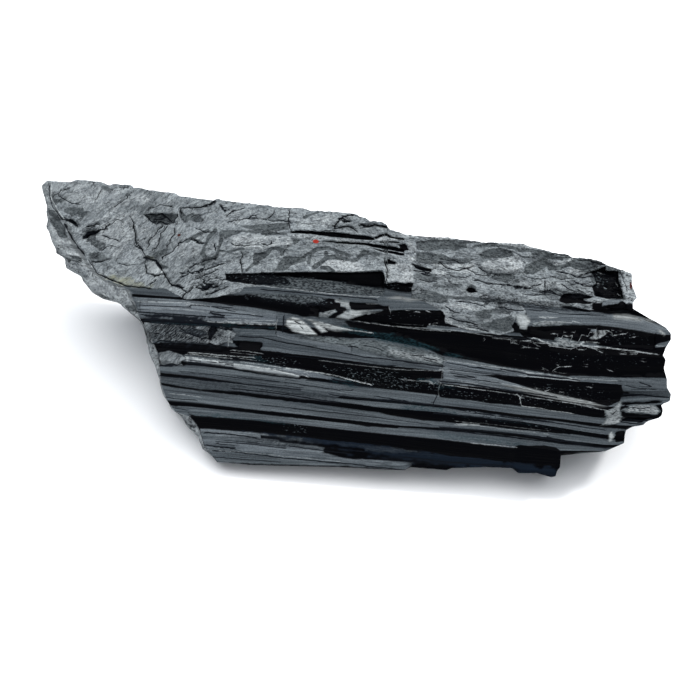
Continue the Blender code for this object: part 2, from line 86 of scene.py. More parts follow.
# Each crease: (name, line, tilt of the strip below it). A line is a list of
# (column, row); a tilt is rise toward the sheet's front per step upward, at columns.
greyTilt = -0.36
creases = [
    ("outline", [(217, 462), (252, 465), (340, 467), (376, 469), (405, 470), (410, 467), (435, 469),
     (446, 470), (452, 468), (487, 467), (512, 468), (518, 473), (537, 473), (551, 477), (556, 476)], []),
    ("sill", [(217, 457), (290, 460.5), (350, 464), (400, 467), (410, 465), (446, 467.4), (512, 465.5),
     (519, 470), (551, 474), (560, 473)], [(200, -0.3), (405, -0.3), (420, 0.3)]),
    ("sill top", [(207, 446), (250, 450), (290, 454), (350, 459), (400, 462), (446, 463), (512, 462),
     (519, 465), (560, 466)], [(200, -0.25), (400, -0.25), (430, 0.25), (520, 0.1)]),
    ("navy fold", [(200, 437), (250, 440.5), (290, 444.5), (350, 451), (400, 456), (450, 459), (512, 460.7),
     (519, 463.7), (560, 465)], [(200, 0.2), (500, 0.12)]),
    ("black 3 foot", [(200, 427), (250, 431), (290, 434), (350, 442), (400, 448), (440, 452), (480, 457),
     (512, 459.6), (519, 462.5), (560, 464)], [(200, -0.02), (500, -0.05)]),
    ("black 3 top", [(195, 417), (250, 420.5), (290, 424), (350, 431), (400, 436), (440, 440), (480, 445),
     (514, 449), (519, 445), (560, 451)], [(200, 0.33), (500, 0.3), (560, 0.3)]),
    ("grey 2 top", [(170, 405.5), (200, 408), (250, 413), (290, 417), (350, 422.5), (398, 427.5),
     (440, 430), (480, 433), (520, 438), (560, 444), (605, 448.5)], [(200, greyTilt), (500, greyTilt),
     (600, -0.3)]),
    ("black 2 top", [(168, 402), (200, 404.5), (250, 410), (290, 414), (350, 420.5), (398, 426), (440, 428),
     (480, 430), (520, 434), (560, 440), (605, 445)], [(200, 0.34), (600, 0.3)]),
    ("grey 3 fold", [(160, 394), (200, 398), (250, 404), (290, 408.5), (350, 415.5), (400, 421.5),
     (440, 425.5), (480, 428), (520, 432), (560, 437), (610, 442.5)], [(200, -0.42), (400, -0.42),
     (450, -0.2), (600, -0.25)]),
    ("grey 3 top", [(161, 384.5), (200, 389.5), (250, 396.5), (290, 401), (350, 409.5), (400, 416),
     (440, 421), (480, 424), (520, 429), (560, 433), (608, 440)], [(200, -0.3), (600, -0.32)]),
    ("black 1 top", [(161, 382), (200, 387), (250, 393.5), (290, 397.5), (350, 405), (400, 410), (440, 413),
     (480, 418), (520, 421.5), (560, 428), (608, 436), (630, 439)], [(200, 0.34), (400, 0.34), (600, 0.3)]),
    ("streak", [(160, 375.5), (200, 381), (250, 388), (290, 394), (350, 400), (400, 404), (440, 408),
     (480, 412), (520, 418), (560, 422), (600, 428), (640, 431)], [(200, -0.3), (600, -0.25)]),
    ("main foot", [(160, 373), (200, 377.5), (250, 384.5), (290, 389), (350, 397), (400, 401.5),
     (440, 405.5), (480, 409.5), (520, 415), (560, 419), (600, 424), (645, 427)], [(200, 0.34), (600, 0.34)]),
    ("main top", [(160, 364), (200, 366), (250, 372), (290, 377), (350, 386), (400, 391), (440, 396),
     (480, 401), (520, 406.5), (560, 412), (605, 418), (650, 420)], [(200, -0.42), (600, -0.38)]),
    ("bright foot", [(160, 360), (186, 362), (230, 367.5), (290, 374), (340, 380), (370, 384), (400, 387),
     (440, 391), (480, 394.5), (520, 400), (560, 407), (605, 413), (660, 413)], [(200, 0.34), (400, 0.33),
     (600, 0.3)]),
    ("bright top", [(150, 352), (184, 355), (230, 360), (262, 364), (290, 368), (320, 373), (350, 379),
     (370, 382), (400, 383), (440, 383.5), (480, 387.5), (520, 392.5), (560, 400), (608, 407), (664, 405)],
     [(200, -0.5), (370, -0.45), (420, 0.2), (600, 0.15)]),
    ("blade", [(150, 348), (183, 351), (210, 353), (250, 356.5), (290, 361), (350, 370), (400, 375),
     (440, 377), (480, 382), (520, 387.5), (560, 396), (608, 403.5), (667, 400)], [(200, 0.3), (400, 0.3),
     (450, -0.45), (600, -0.42)]),
    ("band 1 top", [(150, 343), (200, 346), (233, 348), (262, 351), (290, 354), (320, 357), (350, 361),
     (380, 365), (400, 367), (440, 371), (480, 376), (500, 378.5), (520, 383.5), (540, 387.5), (560, 392),
     (600, 400), (668, 394)], [(200, 0.05), (260, 0.26), (430, 0.3), (455, -0.35), (600, -0.3)]),
    ("dotted", [(147, 338), (200, 337), (240, 337), (275, 339), (290, 344), (320, 349), (350, 353),
     (380, 358), (400, 360), (440, 366), (480, 373.5), (500, 375), (520, 376), (540, 378), (560, 380),
     (600, 383), (667, 389)], [(200, -0.2), (420, -0.4), (470, 0.2), (600, 0.33)]),
    ("frost top", [(145, 331), (200, 330.5), (235, 330), (275, 330), (290, 333.5), (320, 336), (350, 338),
     (376, 338), (400, 343), (425, 348), (443, 356), (480, 363), (500, 367), (520, 370), (540, 373),
     (563, 376.5), (618, 377), (666, 379)], [(160, -0.1), (240, -0.42), (430, -0.48), (480, -0.36),
     (600, -0.32)]),
    ("teal fold", [(143, 325), (200, 326.6), (240, 327.6), (290, 329), (330, 333.5), (352, 335),
     (400, 339.5), (430, 344), (450, 349), (480, 354), (525, 359), (560, 366), (620, 371), (665, 370)],
     [(200, -0.1), (350, 0.1), (440, 0.2), (600, 0.22)]),
    ("band a foot", [(142, 319.5), (170, 320.5), (200, 322.5), (230, 325), (275, 325.5), (290, 326),
     (320, 328.5), (350, 330), (400, 331.5), (440, 333.5), (480, 336), (500, 337.5), (530, 341), (550, 348),
     (600, 350), (620, 352), (664, 355)], [(200, 0.33), (350, 0.25), (440, 0.32), (500, 0.28), (600, 0.25)]),
    ("band a top", [(135, 297), (180, 299.5), (205, 302), (230, 306), (250, 308.5), (283, 314),
     (318, 317.5), (350, 320), (365, 321.5), (395, 325.5), (440, 330), (480, 333), (500, 334.5), (520, 336),
     (540, 341), (560, 346), (600, 347), (640, 349), (668, 347)], [(160, -0.34), (260, -0.34), (350, -0.1),
     (400, 0.1), (500, 0), (600, 0.3)]),
    ("lens 1 top", [(134.6, 294), (190, 298), (225, 296.5), (250, 296), (270, 299), (300, 304), (320, 310),
     (355, 318.4), (380, 321.5), (400, 324.5), (430, 326.5), (450, 327.5), (480, 331), (520, 333),
     (540, 338), (560, 343), (600, 344), (655, 345), (671, 340)], [(150, 0.2), (230, 0.34), (300, 0.3),
     (400, -0.3), (500, -0.2), (600, -0.2)]),
    ("hollow top", [(134, 290.5), (200, 291.5), (250, 292), (270, 294), (300, 299), (330, 308),
     (355, 315.5), (375, 313), (410, 310.5), (440, 311), (450, 316), (480, 322), (520, 326.5), (540, 327),
     (575, 326), (600, 326.5), (620, 328.5), (637, 331.5), (655, 334.5), (671, 335)], [(160, -0.3),
     (300, -0.3), (345, 0.3), (400, 0.32), (440, 0.3), (480, -0.2), (540, 0.33), (640, 0.33)]),
    ("strip top", [(130, 288), (170, 288), (200, 288), (240, 286.5), (280, 288), (320, 293), (380, 299),
     (420, 301), (445, 304), (480, 309), (517, 313.5), (560, 314.5), (612, 313.5), (640, 316), (668, 328)],
     [(160, -0.4), (300, -0.3), (400, -0.5), (480, -0.3), (560, -0.48), (640, -0.45)]),
    ("ledge foot", [(120, 284), (170, 281), (200, 279), (240, 276), (265, 274.5), (300, 280), (340, 285),
     (385, 289), (410, 292), (430, 295), (470, 299.5), (540, 306), (600, 311), (634, 309), (650, 318)],
     [(160, -0.4), (240, -0.2), (330, -0.1), (400, -0.4), (480, -0.5), (540, -0.3), (620, 0.3)]),
    ("ledge lip", [(108, 280.5), (170, 275), (220, 272), (262, 271.5), (300, 271), (350, 271), (383, 269),
     (388, 281), (412, 281), (420, 286), (445, 289), (470, 292), (540, 298), (600, 302), (633, 303)],
     [(160, -0.45), (250, -0.2), (275, 0.3), (375, 0.32), (392, 0.42), (412, 0.4), (430, -0.3),
     (540, -0.45), (605, 0.36), (630, 0.36)]),
]

# What a user would change about the stone's shape.
stone = {
    "columns": 396,          # points along the crystal
    "fluteStep": 1.65,       # sheet units between the rows of points in a flute
    "upperRows": 6,          # rows of points in each band of the broken face
    "capColumns": 13,        # points through the thickness at each end
    "capBunch": 1.35,        # how far those points bunch toward the front
    "backRows": 34,
    "undersideRows": 6,      # how many of the back rows lie under the stone
    "backEven": 90,          # how far the flutes of the back ignore steps in the upper edge
    "backTiltEven": 8,       # columns on each side over which the satin finish and painted sheen of the back are evened
    "backShift": 900.0,      # moves the back past everything painted on the front
    "topWallMm": 1.8,
    "backBulgeMm": 1.6,
    "backFluteMm": 0.55,
    "backRibs": [0.0, 0.6, -0.5, 0.9, -0.2, 0.4, -0.9, 0.7, -0.6],
    "backRibCount": 14.0,    # ribs up the back, taken from that list over and over
    "striationMm": 0.026,    # depth of the fine lines along the flutes
    "roughMm": 0.34,         # relief of the broken face
    "facetCount": 46,        # slanted faces that make up that relief
    "facetSize": 17.0,       # in sheet units
    "plateMm": 0.52,         # step of the thin plates on the broken face
    "grainMm": 0.10,
    "ribbonMm": 0.13,        # how far the winding ribbons lie below the crusts
    "wallRough": 1.4,        # wander of the upper and lower edges, in sheet units
    "sharpDeg": 24.0,        # edges steeper than this stay sharp
}
upperShares = [0.10, 0.19, 0.28, 0.37, 0.46, 0.55, 0.64, 0.73, 0.82, 0.91]
topEdge = [(48, 179.5), (71, 180.8), (76.5, 178.5), (90, 179.5), (103.7, 181.3), (109.4, 184),
           (112.3, 182.7), (132.3, 184), (133, 186.3), (138, 186), (145, 188.4), (151, 188.9), (175, 192),
           (179.4, 194.9), (189.4, 196.3), (208, 198.4), (213.7, 199), (216.6, 197), (222.3, 199),
           (238, 201.3), (250, 202), (265.7, 204.3), (268.6, 203.9), (275.7, 206), (302.9, 207),
           (310, 209.3), (320, 209.6), (342.9, 211), (357, 212.9), (359.3, 215.7), (365.7, 216.4),
           (370, 220), (381.4, 220), (387, 223.6), (388.6, 227.9), (397, 230), (404.3, 232.9),
           (425.7, 235.7), (445, 235.8), (480, 240.8), (523, 242.5), (530, 245.8), (543, 248.3),
           (555, 251.7), (568, 253.3), (571.7, 255.8), (590, 257.5), (600, 260), (608, 264), (623, 269),
           (631.7, 272.5), (640, 276)]
upperTilt = [(50, -0.40), (200, -0.46), (350, -0.50), (450, -0.56), (600, -0.62)]
# Shelves and hollows: (column, row, half width, half height, rise in mm, turn in degrees)
upperForms = [
    (150, 243, 16, 12, -0.3, 50), (160, 219, 16, 6, -0.45, 5), (192, 219, 12, 12, -0.3, 0),
    (438, 249, 28, 10, -0.35, 8), (500, 265, 22, 7, 0.35, 10), (540, 264, 16, 9, -0.35, 10),
    (96, 226, 18, 4, -0.35, -20), (110, 256, 16, 10, 0.35, 30), (344, 220, 12, 7, 0.4, 0),
    (338, 265, 22, 6, 0.3, 0), (296, 216, 30, 6, 0.3, 5), (471, 289, 5, 4, -0.5, 0),
]
# Cracks and thin dark lines: (width in sheet units, depth in mm, lines)
cracks = [
    (1.1, 0.3, [[(53, 197), (57, 194), (62, 190), (69, 189)], [(147, 247), (152, 237), (159, 229),
     (164, 226)], [(181.5, 213), (182, 208), (195, 207), (208, 206), (215, 200)], [(242, 253), (241, 262),
     (242, 271)], [(172, 285), (180, 287), (187, 292), (183, 298)]]),
    (3.2, 0.6, [[(66, 219), (71, 220), (76, 224)]]),
    (3.6, 0.8, [[(84, 237), (88, 234), (94, 231)]]),
    (1.8, 0.5, [[(94, 231), (104, 228), (110, 225)]]),
    (1, 0.3, [[(110, 225), (118, 220)], [(196, 278), (206, 274), (218, 270)], [(206, 294), (218, 290),
     (228, 287)], [(545, 283), (545, 292)]]),
    (1.4, 0.3, [[(88, 227), (99, 224)], [(155, 276), (165, 274)]]),
    (1.5, 0.4, [[(77, 246), (84, 253)], [(334, 228), (338, 219), (346, 216), (352, 214)], [(342, 220),
     (350, 221)]]),
    (1.2, 0.3, [[(93, 262), (101, 262), (108, 258)], [(97, 273), (108, 278), (124, 285), (150, 288)],
     [(222, 206), (226, 210)], [(187, 292), (196, 286), (205, 281)], [(415, 271), (432, 272)]]),
    (0.9, 0.25, [[(95, 200), (101, 190)], [(112, 206), (130, 195)], [(290, 211), (289, 221), (290, 231)]]),
    (0.9, 0.2, [[(104, 236), (118, 240)], [(226, 215), (243, 207)], [(242, 217), (262, 219), (290, 221)],
     [(89, 260), (97, 272)]]),
    (1.2, 0.35, [[(134, 222), (134, 232), (137, 243), (144, 251), (145, 258)], [(334, 228), (350, 226),
     (356, 230)]]),
    (2.2, 0.55, [[(145, 257), (149, 257.5), (155, 259)]]),
    (2, 0.45, [[(155, 259), (159, 264), (162, 269)]]),
    (1.1, 0.35, [[(162, 269), (169, 282), (172, 286), (181, 286)]]),
    (1, 0.25, [[(146, 260), (146, 273), (155, 275)], [(150, 284), (155, 279)], [(152, 249), (159, 242),
     (162, 233), (167, 226)], [(168, 247), (171, 238), (175, 229)], [(162, 258), (172, 252), (178, 243),
     (187, 239)], [(180, 272), (196, 274), (210, 268), (222, 264)], [(186, 270), (200, 262), (216, 258)],
     [(268, 217), (274, 210)], [(560, 272), (580, 275), (592, 273)], [(556, 293), (548, 290), (540, 292)],
     [(440, 262), (447, 268), (460, 271), (474, 266)], [(474, 280), (490, 283), (510, 285)]]),
    (1.6, 0.4, [[(192, 239), (201, 242)]]),
    (1.3, 0.35, [[(198, 288), (206, 285), (214, 284)]]),
    (1.8, 0.45, [[(203, 290), (210, 287), (218, 286)]]),
    (1, 0.2, [[(262, 243), (267, 245), (272, 242)], [(49, 184), (49.5, 196), (53, 207)]]),
    (2, 0.6, [[(361, 225), (375, 225), (388, 227)]]),
    (1.4, 0.4, [[(413, 264), (422, 267), (431, 271)]]),
    (1, 0.4, [[(515, 287), (522, 286), (532, 288)]]),
    (1.2, 0.4, [[(384, 260), (387, 270), (386, 284)]]),
    (1.7, 0.12, [[(136, 245.5), (140, 248.5), (143.5, 250)], [(215, 244), (215.5, 249)], [(145, 215),
     (149, 218.5), (154, 222)], [(361.7, 225.3), (373, 224.7), (388, 226.3)]]),
    (2.2, 0.12, [[(144.5, 257.5), (149, 257.5), (154.5, 259.8)], [(155.5, 260), (158.5, 266), (161.5, 269)],
     [(200, 288.5), (207, 286.5), (216, 286.5)]]),
    (1.5, 0.12, [[(183, 277), (190, 273.3), (199, 271), (204, 267.3)], [(221, 206), (224.5, 210.3)]]),
    (1.4, 0.12, [[(187, 270.5), (193.5, 274)], [(191, 239.5), (195, 241)], [(182.3, 207.5), (192, 207.3),
     (200, 205.8), (206, 204.5), (213, 203.8), (216, 201)], [(146, 214.3), (156, 214.5), (164, 213.8)],
     [(163, 213.5), (168, 218), (171, 221)], [(155, 219), (161, 219), (166, 217)], [(421.7, 273),
     (429.5, 274.7)], [(450, 309.5), (454.3, 311.3), (458.3, 312)], [(284, 316), (282.5, 331)]]),
    (2, 0.12, [[(170, 283.5), (176, 286.3), (182.5, 287)], [(197, 242.5), (202.5, 242)], [(157, 223.7),
     (162, 222.5), (167, 222.5)]]),
    (1.2, 0.12, [[(263, 243.8), (268, 245)], [(176.5, 213.5), (174, 222)], [(334.5, 226.5), (337, 221),
     (340.5, 217.5), (349.5, 219.7), (344, 221.5)], [(549, 290.2), (555, 288), (560, 291)], [(295.5, 321.3),
     (299, 322.8)]]),
    (1, 0.12, [[(192, 217), (200, 214.5)], [(544, 280.2), (545, 285.8), (545.5, 291.3)], [(321.5, 230),
     (335, 230.8)], [(570, 283.5), (585, 283), (590, 280.5)], [(437, 396), (434, 402), (433, 406)],
     [(301.3, 326.7), (302.3, 327.8)], [(446, 274), (458, 277), (470, 275.5)], [(526, 276), (535, 278.5),
     (545, 277)], [(524, 293), (534, 295), (545, 294)], [(465, 268), (475, 273), (489, 275)], [(480, 268),
     (488, 272.5), (497, 274)]]),
    (1.1, 0.12, [[(516, 286.3), (521.7, 287), (528.3, 288), (531.7, 283.7), (540.5, 283)]]),
    (1.5, 0.06, [[(143, 320), (170, 321), (200, 323), (222, 325)], [(232, 325.7), (255, 326.5), (275, 326)],
     [(187, 363), (210, 364.7), (225, 366.8), (245, 371), (262, 374), (285, 376.7), (300, 378.5)],
     [(440, 381), (470, 384), (500, 389), (515, 391), (540, 394), (556, 397)], [(205, 432.5), (225, 433.5),
     (245, 436), (256, 438)]]),
    (1.4, 0.06, [[(240, 336), (262, 337), (272, 339.5), (290, 343.3), (300, 344.7), (320, 348.3),
     (345, 352.7), (365, 357), (378, 357.7), (400, 360.7), (420, 363.2), (443, 366)], [(160, 365.7),
     (172, 366), (181, 363.5)], [(262, 289), (300, 292.3), (340, 295.7), (376, 299)], [(435, 413),
     (480, 417), (520, 422)], [(206, 445.3), (216, 446.2), (234, 448.3)]]),
    (1.7, 0.06, [[(333, 378.5), (342, 381), (352, 383.7), (372, 387)]]),
    (1.2, 0.06, [[(500, 368.5), (530, 374), (560, 377.3), (580, 380)], [(440, 427), (455, 428),
     (480, 430.5), (520, 434), (545, 437), (570, 441)], [(420, 428), (460, 431.5), (500, 436), (540, 440.5),
     (560, 443), (605, 447.5)], [(160, 375.3), (200, 379.3), (240, 383.5), (270, 386.3), (300, 389.5)],
     [(232, 388.3), (262, 391.3), (290, 395), (320, 399.5), (340, 402)], [(240, 453.3), (262, 455.3),
     (290, 458.3), (340, 463), (370, 466), (404, 470)], [(560, 443), (580, 445), (606, 447.5)]]),
    (0.8, 0.06, [[(447, 362.5), (480, 367), (505, 371.5)], [(450, 369), (480, 372.5), (515, 376)],
     [(180, 371), (240, 377.5), (300, 384), (340, 390)], [(262, 404.5), (320, 411), (370, 416.5),
     (430, 424)]]),
    (1, 0.06, [[(450, 408), (480, 411.5), (510, 416), (540, 420), (565, 424), (605, 430)], [(330, 394),
     (360, 398.5), (400, 402), (432, 405)]]),
    (1.1, 0.2, [[(66, 226), (71, 234), (77, 245), (84, 254)]]),
    (0.9, 0.15, [[(55, 209), (64, 221), (71, 238)]]),
    (1.2, 0.1, [[(493, 335.5), (512, 337), (534, 339.3)], [(180, 327.5), (184.7, 330.8)], [(142, 320),
     (160, 320.8), (188, 323), (212, 324)], [(161.3, 364.7), (178, 364.7)], [(411.7, 354.8),
     (421.7, 355.3)], [(425, 357.5), (436, 359.5)], [(640, 382), (652, 386.4)], [(641, 413.6), (650, 414)]]),
    (1, 0.1, [[(155, 333.5), (160, 333.8)], [(175.8, 331), (175.8, 336.5)], [(365, 345), (376, 347.5),
     (383, 350.5)], [(626, 385), (640, 388), (655, 389)], [(632, 407), (640, 408.5), (650, 407.5)],
     [(612, 414), (616, 411)]]),
    (1.3, 0.1, [[(188, 332.4), (200, 337), (210, 338.5)]]),
    (1.4, 0.1, [[(218, 327.4), (231.3, 329)], [(349.5, 345.9), (357.2, 347)], [(621, 418.7), (651, 420.3)],
     [(621, 422), (642, 424.2)]]),
    (1.6, 0.1, [[(154, 343), (160, 340), (172, 341.5)]]),
    (1.2, 0.05, [[(220, 358.7), (249, 361.3)], [(405, 457), (440, 461), (480, 464.5), (512, 466)],
     [(527.2, 374.3), (545, 376.5), (563.9, 378.3)]]),
    (1, 0.05, [[(190, 360), (215, 362), (232, 365)], [(228, 356.7), (240, 358.7), (262, 362)],
     [(190, 304.5), (212, 306), (232, 307.5)], [(140, 304.5), (170, 306), (190, 306.5)], [(210, 311),
     (240, 313.5), (262, 316)], [(145, 317), (175, 318), (206, 319.5)], [(285, 355.3), (305, 357),
     (329.5, 359.8), (351.7, 363), (385, 365.3), (396, 365.3)], [(307.2, 379.8), (329.5, 382)],
     [(285, 383.1), (318.3, 387.6), (351.7, 390.3)], [(290, 446), (320, 450), (350, 453.5)],
     [(375.6, 395.8), (397.2, 399.4), (432, 404.2), (468, 411.4), (510, 417.4), (570, 424.6)]]),
    (1.6, 0.05, [[(138, 311.3), (158, 313), (177, 314), (205, 316)]]),
    (2.2, 0.1, [[(209, 316.5), (223, 316.8)]]),
    (1.8, 0.1, [[(624.4, 393.7), (641, 394.8), (670, 397)]]),
    (0.9, 0.05, [[(547.8, 436.4), (563.3, 440.3), (602.2, 445.3)], [(217, 441.5), (250, 444), (285, 448)],
     [(208, 456.5), (240, 459), (280, 462)], [(212.2, 450.5), (244.4, 452.8), (272.2, 456.7), (305.5, 460),
     (338.9, 463.3)], [(455, 376), (478, 379.5), (500, 383)], [(450, 372.5), (475, 376.5)], [(462, 365.5),
     (480, 368), (500, 370.3)], [(175, 408), (188, 410)], [(164, 397), (180, 399), (196, 400)]]),
    (0.8, 0.05, [[(530, 309), (570, 313.5), (605, 315.5)]]),
    (1, 0.15, [[(420, 279), (430, 281.5), (436, 280)], [(552, 276), (562, 279.5), (572, 278)], [(575, 281),
     (584, 285.5), (592, 286)], [(562, 284), (570, 288.5), (580, 290)], [(592, 262), (603, 264),
     (613, 263)], [(608, 256), (618, 262), (626, 268)], [(222, 278), (232, 281), (240, 280)], [(208, 280),
     (216, 278), (226, 280.5)]]),
    (1.1, 0.15, [[(497, 284), (507, 285.5), (516, 286.3)], [(545, 291.5), (556, 294), (562, 296)]]),
    (1.2, 0.18, [[(556, 270), (566, 272.5), (580, 277), (592, 276)]]),
    (0.7, 0.12, [[(568, 256), (578, 259.5), (590, 261)], [(582, 252), (592, 256), (604, 258.5)],
     [(543, 246), (556, 249.5), (568, 250)], [(515, 252), (523, 256.5), (531, 257)], [(440, 258.7),
     (452, 259.5), (460, 262.5)]]),
    (0.9, 0.12, [[(556, 241.5), (566, 245.5), (580, 248)], [(620, 272), (624, 280), (627, 290)],
     [(418, 236), (430, 237.5), (446, 236.5)], [(470, 239.5), (486, 242.5), (500, 242)], [(60, 196),
     (72, 203), (80, 204)], [(150, 208), (160, 205), (172, 206)], [(228, 222), (240, 219), (255, 214)],
     [(232, 243.5), (240, 246), (250, 244.5)], [(196, 228), (205, 232), (213, 231)], [(118, 262),
     (128, 266), (134, 264.5)], [(100, 249), (108, 245), (116, 246)]]),
    (1.3, 0.12, [[(455, 300.5), (470, 302), (484, 306)], [(446, 306), (452, 309.5)], [(468, 326),
     (478, 328.5), (488, 331)], [(495, 306), (510, 308.5), (522, 309)]]),
    (1.5, 0.15, [[(449, 316), (458, 320.5), (470, 321.5), (478, 325)]]),
    (0.7, 0.1, [[(130, 216), (133, 221)]]),
]
# Thin pale lines and chips: (width in sheet units, brightness, lines)
threads = [
    (1, 0.77, [[(51, 183), (51.5, 198), (56.5, 208), (65, 219.5)]]),
    (1.2, 0.43, [[(180, 319.3), (200, 320.7), (230, 322.5), (250, 323.7), (274, 324.3), (277, 320)]]),
    (0.8, 0.3, [[(276, 328), (277, 320)], [(540, 373.5), (575, 378), (617, 380.5)], [(455, 424.7),
     (480, 426), (510, 429.5), (548, 433.7)], [(150, 308.5), (180, 309), (215, 311.5)], [(225, 318.5),
     (250, 319.7), (274, 320.3)], [(462, 381.3), (480, 383.5), (500, 387.5)], [(585, 366), (586.5, 366.3)],
     [(643, 361), (645, 361.3)]]),
    (1, 0.38, [[(232, 350), (248, 351), (262, 353.3)]]),
    (0.8, 0.25, [[(320, 360), (350, 363.7), (382, 367.5), (410, 370)], [(206, 449.7), (240, 452),
     (290, 456.5), (340, 461.5)]]),
    (0.7, 0.25, [[(240, 361), (262, 364), (280, 366)]]),
    (1.2, 0.72, [[(303, 374.7), (308, 376.5)]]),
    (1.2, 0.38, [[(240, 286.5), (262, 285.5), (290, 288.5), (320, 292), (350, 295), (378, 296.5)]]),
    (0.8, 0.34, [[(356, 320.5), (372, 323), (392, 325.7), (430, 327.7), (460, 330.5), (480, 334),
     (512, 337.5)]]),
    (1.3, 0.68, [[(583, 345), (600, 346.5), (630, 350), (657, 354)], [(223.5, 315), (224.5, 315)]]),
    (0.8, 0.77, [[(553, 370), (558, 366.5), (570, 366)]]),
    (0.8, 0.47, [[(440, 383.8), (470, 388), (500, 392), (515, 394.5), (545, 399), (575, 403.5),
     (608, 410.5)]]),
    (0.8, 0.43, [[(403, 379), (420, 381), (437, 384.5)]]),
    (0.8, 0.51, [[(520, 405.5), (540, 408), (552, 410.3), (573, 413.3)]]),
    (1, 0.17, [[(443, 368), (441, 380), (438, 390), (439, 395)]]),
    (1, 0.51, [[(517, 394), (520, 397), (521, 404)], [(544, 368), (547, 369.5)], [(389.5, 308),
     (390, 310.7)], [(657, 345.5), (666, 346)]]),
    (1, 0.59, [[(236, 313), (237, 313.4)], [(434, 322.5), (436, 322.5)], [(633, 336.3), (635, 336.5)]]),
    (1.2, 0.68, [[(589, 386.5), (590.5, 387)], [(429, 323.5), (431, 323.5)]]),
    (1, 0.34, [[(609, 370), (612, 370.5)]]),
    (1.2, 0.59, [[(621, 353.5), (625, 353.7)], [(631, 353.5), (636, 353.5)]]),
    (0.8, 0.59, [[(407, 310), (409, 310)]]),
    (1, 0.68, [[(416, 311), (419, 311.5)], [(427, 310.5), (429, 311)]]),
    (1.1, 0.75, [[(553, 333), (559.5, 334), (568.3, 335.6), (576.5, 334), (583.3, 334.5), (596.7, 337.6),
     (602.2, 336.4)]]),
    (0.9, 0.6, [[(559.5, 337.6), (568.3, 338.3), (576, 337.4), (583, 339.5), (598.5, 339.3)]]),
    (1, 0.7, [[(519.5, 340.5), (530.5, 340), (533, 337.3), (538.3, 338.3), (541, 340.3), (552.2, 342),
     (560, 343)]]),
    (0.8, 0.5, [[(533, 342.3), (546, 342.9), (558.3, 345)], [(572, 320), (580, 322.3)], [(318, 219),
     (322, 216.5), (328, 216)]]),
    (0.9, 0.7, [[(560, 342), (564, 341.5), (574.4, 340.9), (580, 342.5), (583.3, 345.9)]]),
    (0.8, 0.6, [[(549.5, 345.3), (563.9, 347.2), (571, 348.5), (579.5, 345.5)], [(576.7, 340.9),
     (583.3, 345.3), (596.7, 348.7)], [(569.5, 377.8), (577.2, 377.8)]]),
    (0.8, 0.55, [[(578.9, 349.2), (584.4, 349.2)], [(596.7, 349.8), (603.3, 352.5)]]),
    (0.9, 0.5, [[(592.2, 331.5), (601, 329.8), (607.8, 329.9), (612.2, 332.7)], [(540, 316.5), (552, 316.3),
     (560, 317.3)], [(412, 288), (420, 292.5), (432, 294)]]),
    (1, 0.65, [[(614.4, 334.6), (625.5, 332.9)]]),
    (0.8, 0.4, [[(523.9, 346.7), (537.2, 347.8)], [(589, 331.5), (598, 334), (606, 334)], [(456, 423.4),
     (479, 424.6)], [(600, 272.5), (601, 272.9)], [(598, 283), (599, 283.4)], [(605, 287.5), (606, 287.9)],
     [(544.5, 390.5), (548.3, 390)]]),
    (0.8, 0.45, [[(486, 339), (490, 338.2)], [(534, 323), (545, 320.3), (560, 321.3), (575, 322.3)],
     [(398, 256.5), (405, 259), (411, 258)], [(253, 314), (254, 314.3)]]),
    (0.7, 0.35, [[(493, 337.2), (512.8, 339.5), (530.5, 341)], [(511.7, 342.2), (517.2, 343.3)],
     [(367, 303.5), (378, 303.5)], [(560.5, 391.7), (562, 392)], [(537, 387.8), (538, 388)]]),
    (1.3, 0.7, [[(184.7, 357.6), (204.7, 359.6), (226.9, 363), (249, 365.6), (271.3, 369), (282.4, 371.8),
     (299, 375.7)]]),
    (0.9, 0.45, [[(187, 360.3), (205, 361.5), (226, 364.3)], [(519.5, 375.2), (535, 376.6), (557.2, 378.7),
     (579.5, 380.5)]]),
    (1.1, 0.55, [[(190, 352.3), (204.7, 353.3), (226.9, 355.3), (253.5, 357)]]),
    (0.9, 0.4, [[(186, 354.3), (210, 355.8), (232, 358.2)], [(444.5, 359.8), (482.8, 365.2), (512.8, 368.7),
     (535, 372.9), (560.5, 375.6)]]),
    (1, 0.5, [[(240, 361.5), (258, 363.3), (280, 367)]]),
    (1.2, 0.7, [[(285, 367.6), (307.2, 370.9), (321.7, 372.7), (340.5, 376.4), (351.7, 379.8),
     (370.5, 384.2)]]),
    (1, 0.45, [[(138, 301.3), (170, 301.8), (188, 302.3), (209, 306)]]),
    (1.1, 0.4, [[(229, 332.4), (228, 344.7)], [(512.8, 384.4), (530.5, 389.5), (546, 393.4), (560.5, 396.7),
     (580, 400.3), (592, 402)]]),
    (1, 0.55, [[(449.5, 303.5), (464, 304), (473, 305.8)]]),
    (1, 0.3, [[(471.6, 442.8), (490, 444.5), (516, 447)]]),
    (0.8, 0.35, [[(170, 393.3), (185, 394.6), (198.9, 396.5)], [(397.2, 325.9), (410.5, 328),
     (428.3, 329.8), (450, 330.9)], [(616, 283), (616.7, 284)], [(619, 294.5), (619.6, 295)]]),
    (0.9, 0.55, [[(526, 372.2), (546, 373.9), (565, 376.1)], [(337, 221.8), (344, 218.5), (352, 217)]]),
    (0.7, 0.3, [[(440, 369), (460, 371.5), (470, 373)]]),
    (1.2, 0.5, [[(320.5, 321.6), (335, 326.4), (350.5, 329.6), (372, 332.6)]]),
    (0.9, 0.3, [[(391.7, 369), (410, 369.4), (440, 370.6)]]),
    (1, 0.4, [[(402.8, 379.2), (428.3, 380.9), (438.3, 383)]]),
    (2.4, 0.3, [[(50, 222), (55, 235), (60, 245), (68, 251)]]),
    (1, 0.35, [[(71, 258), (82, 262), (92, 272)]]),
]
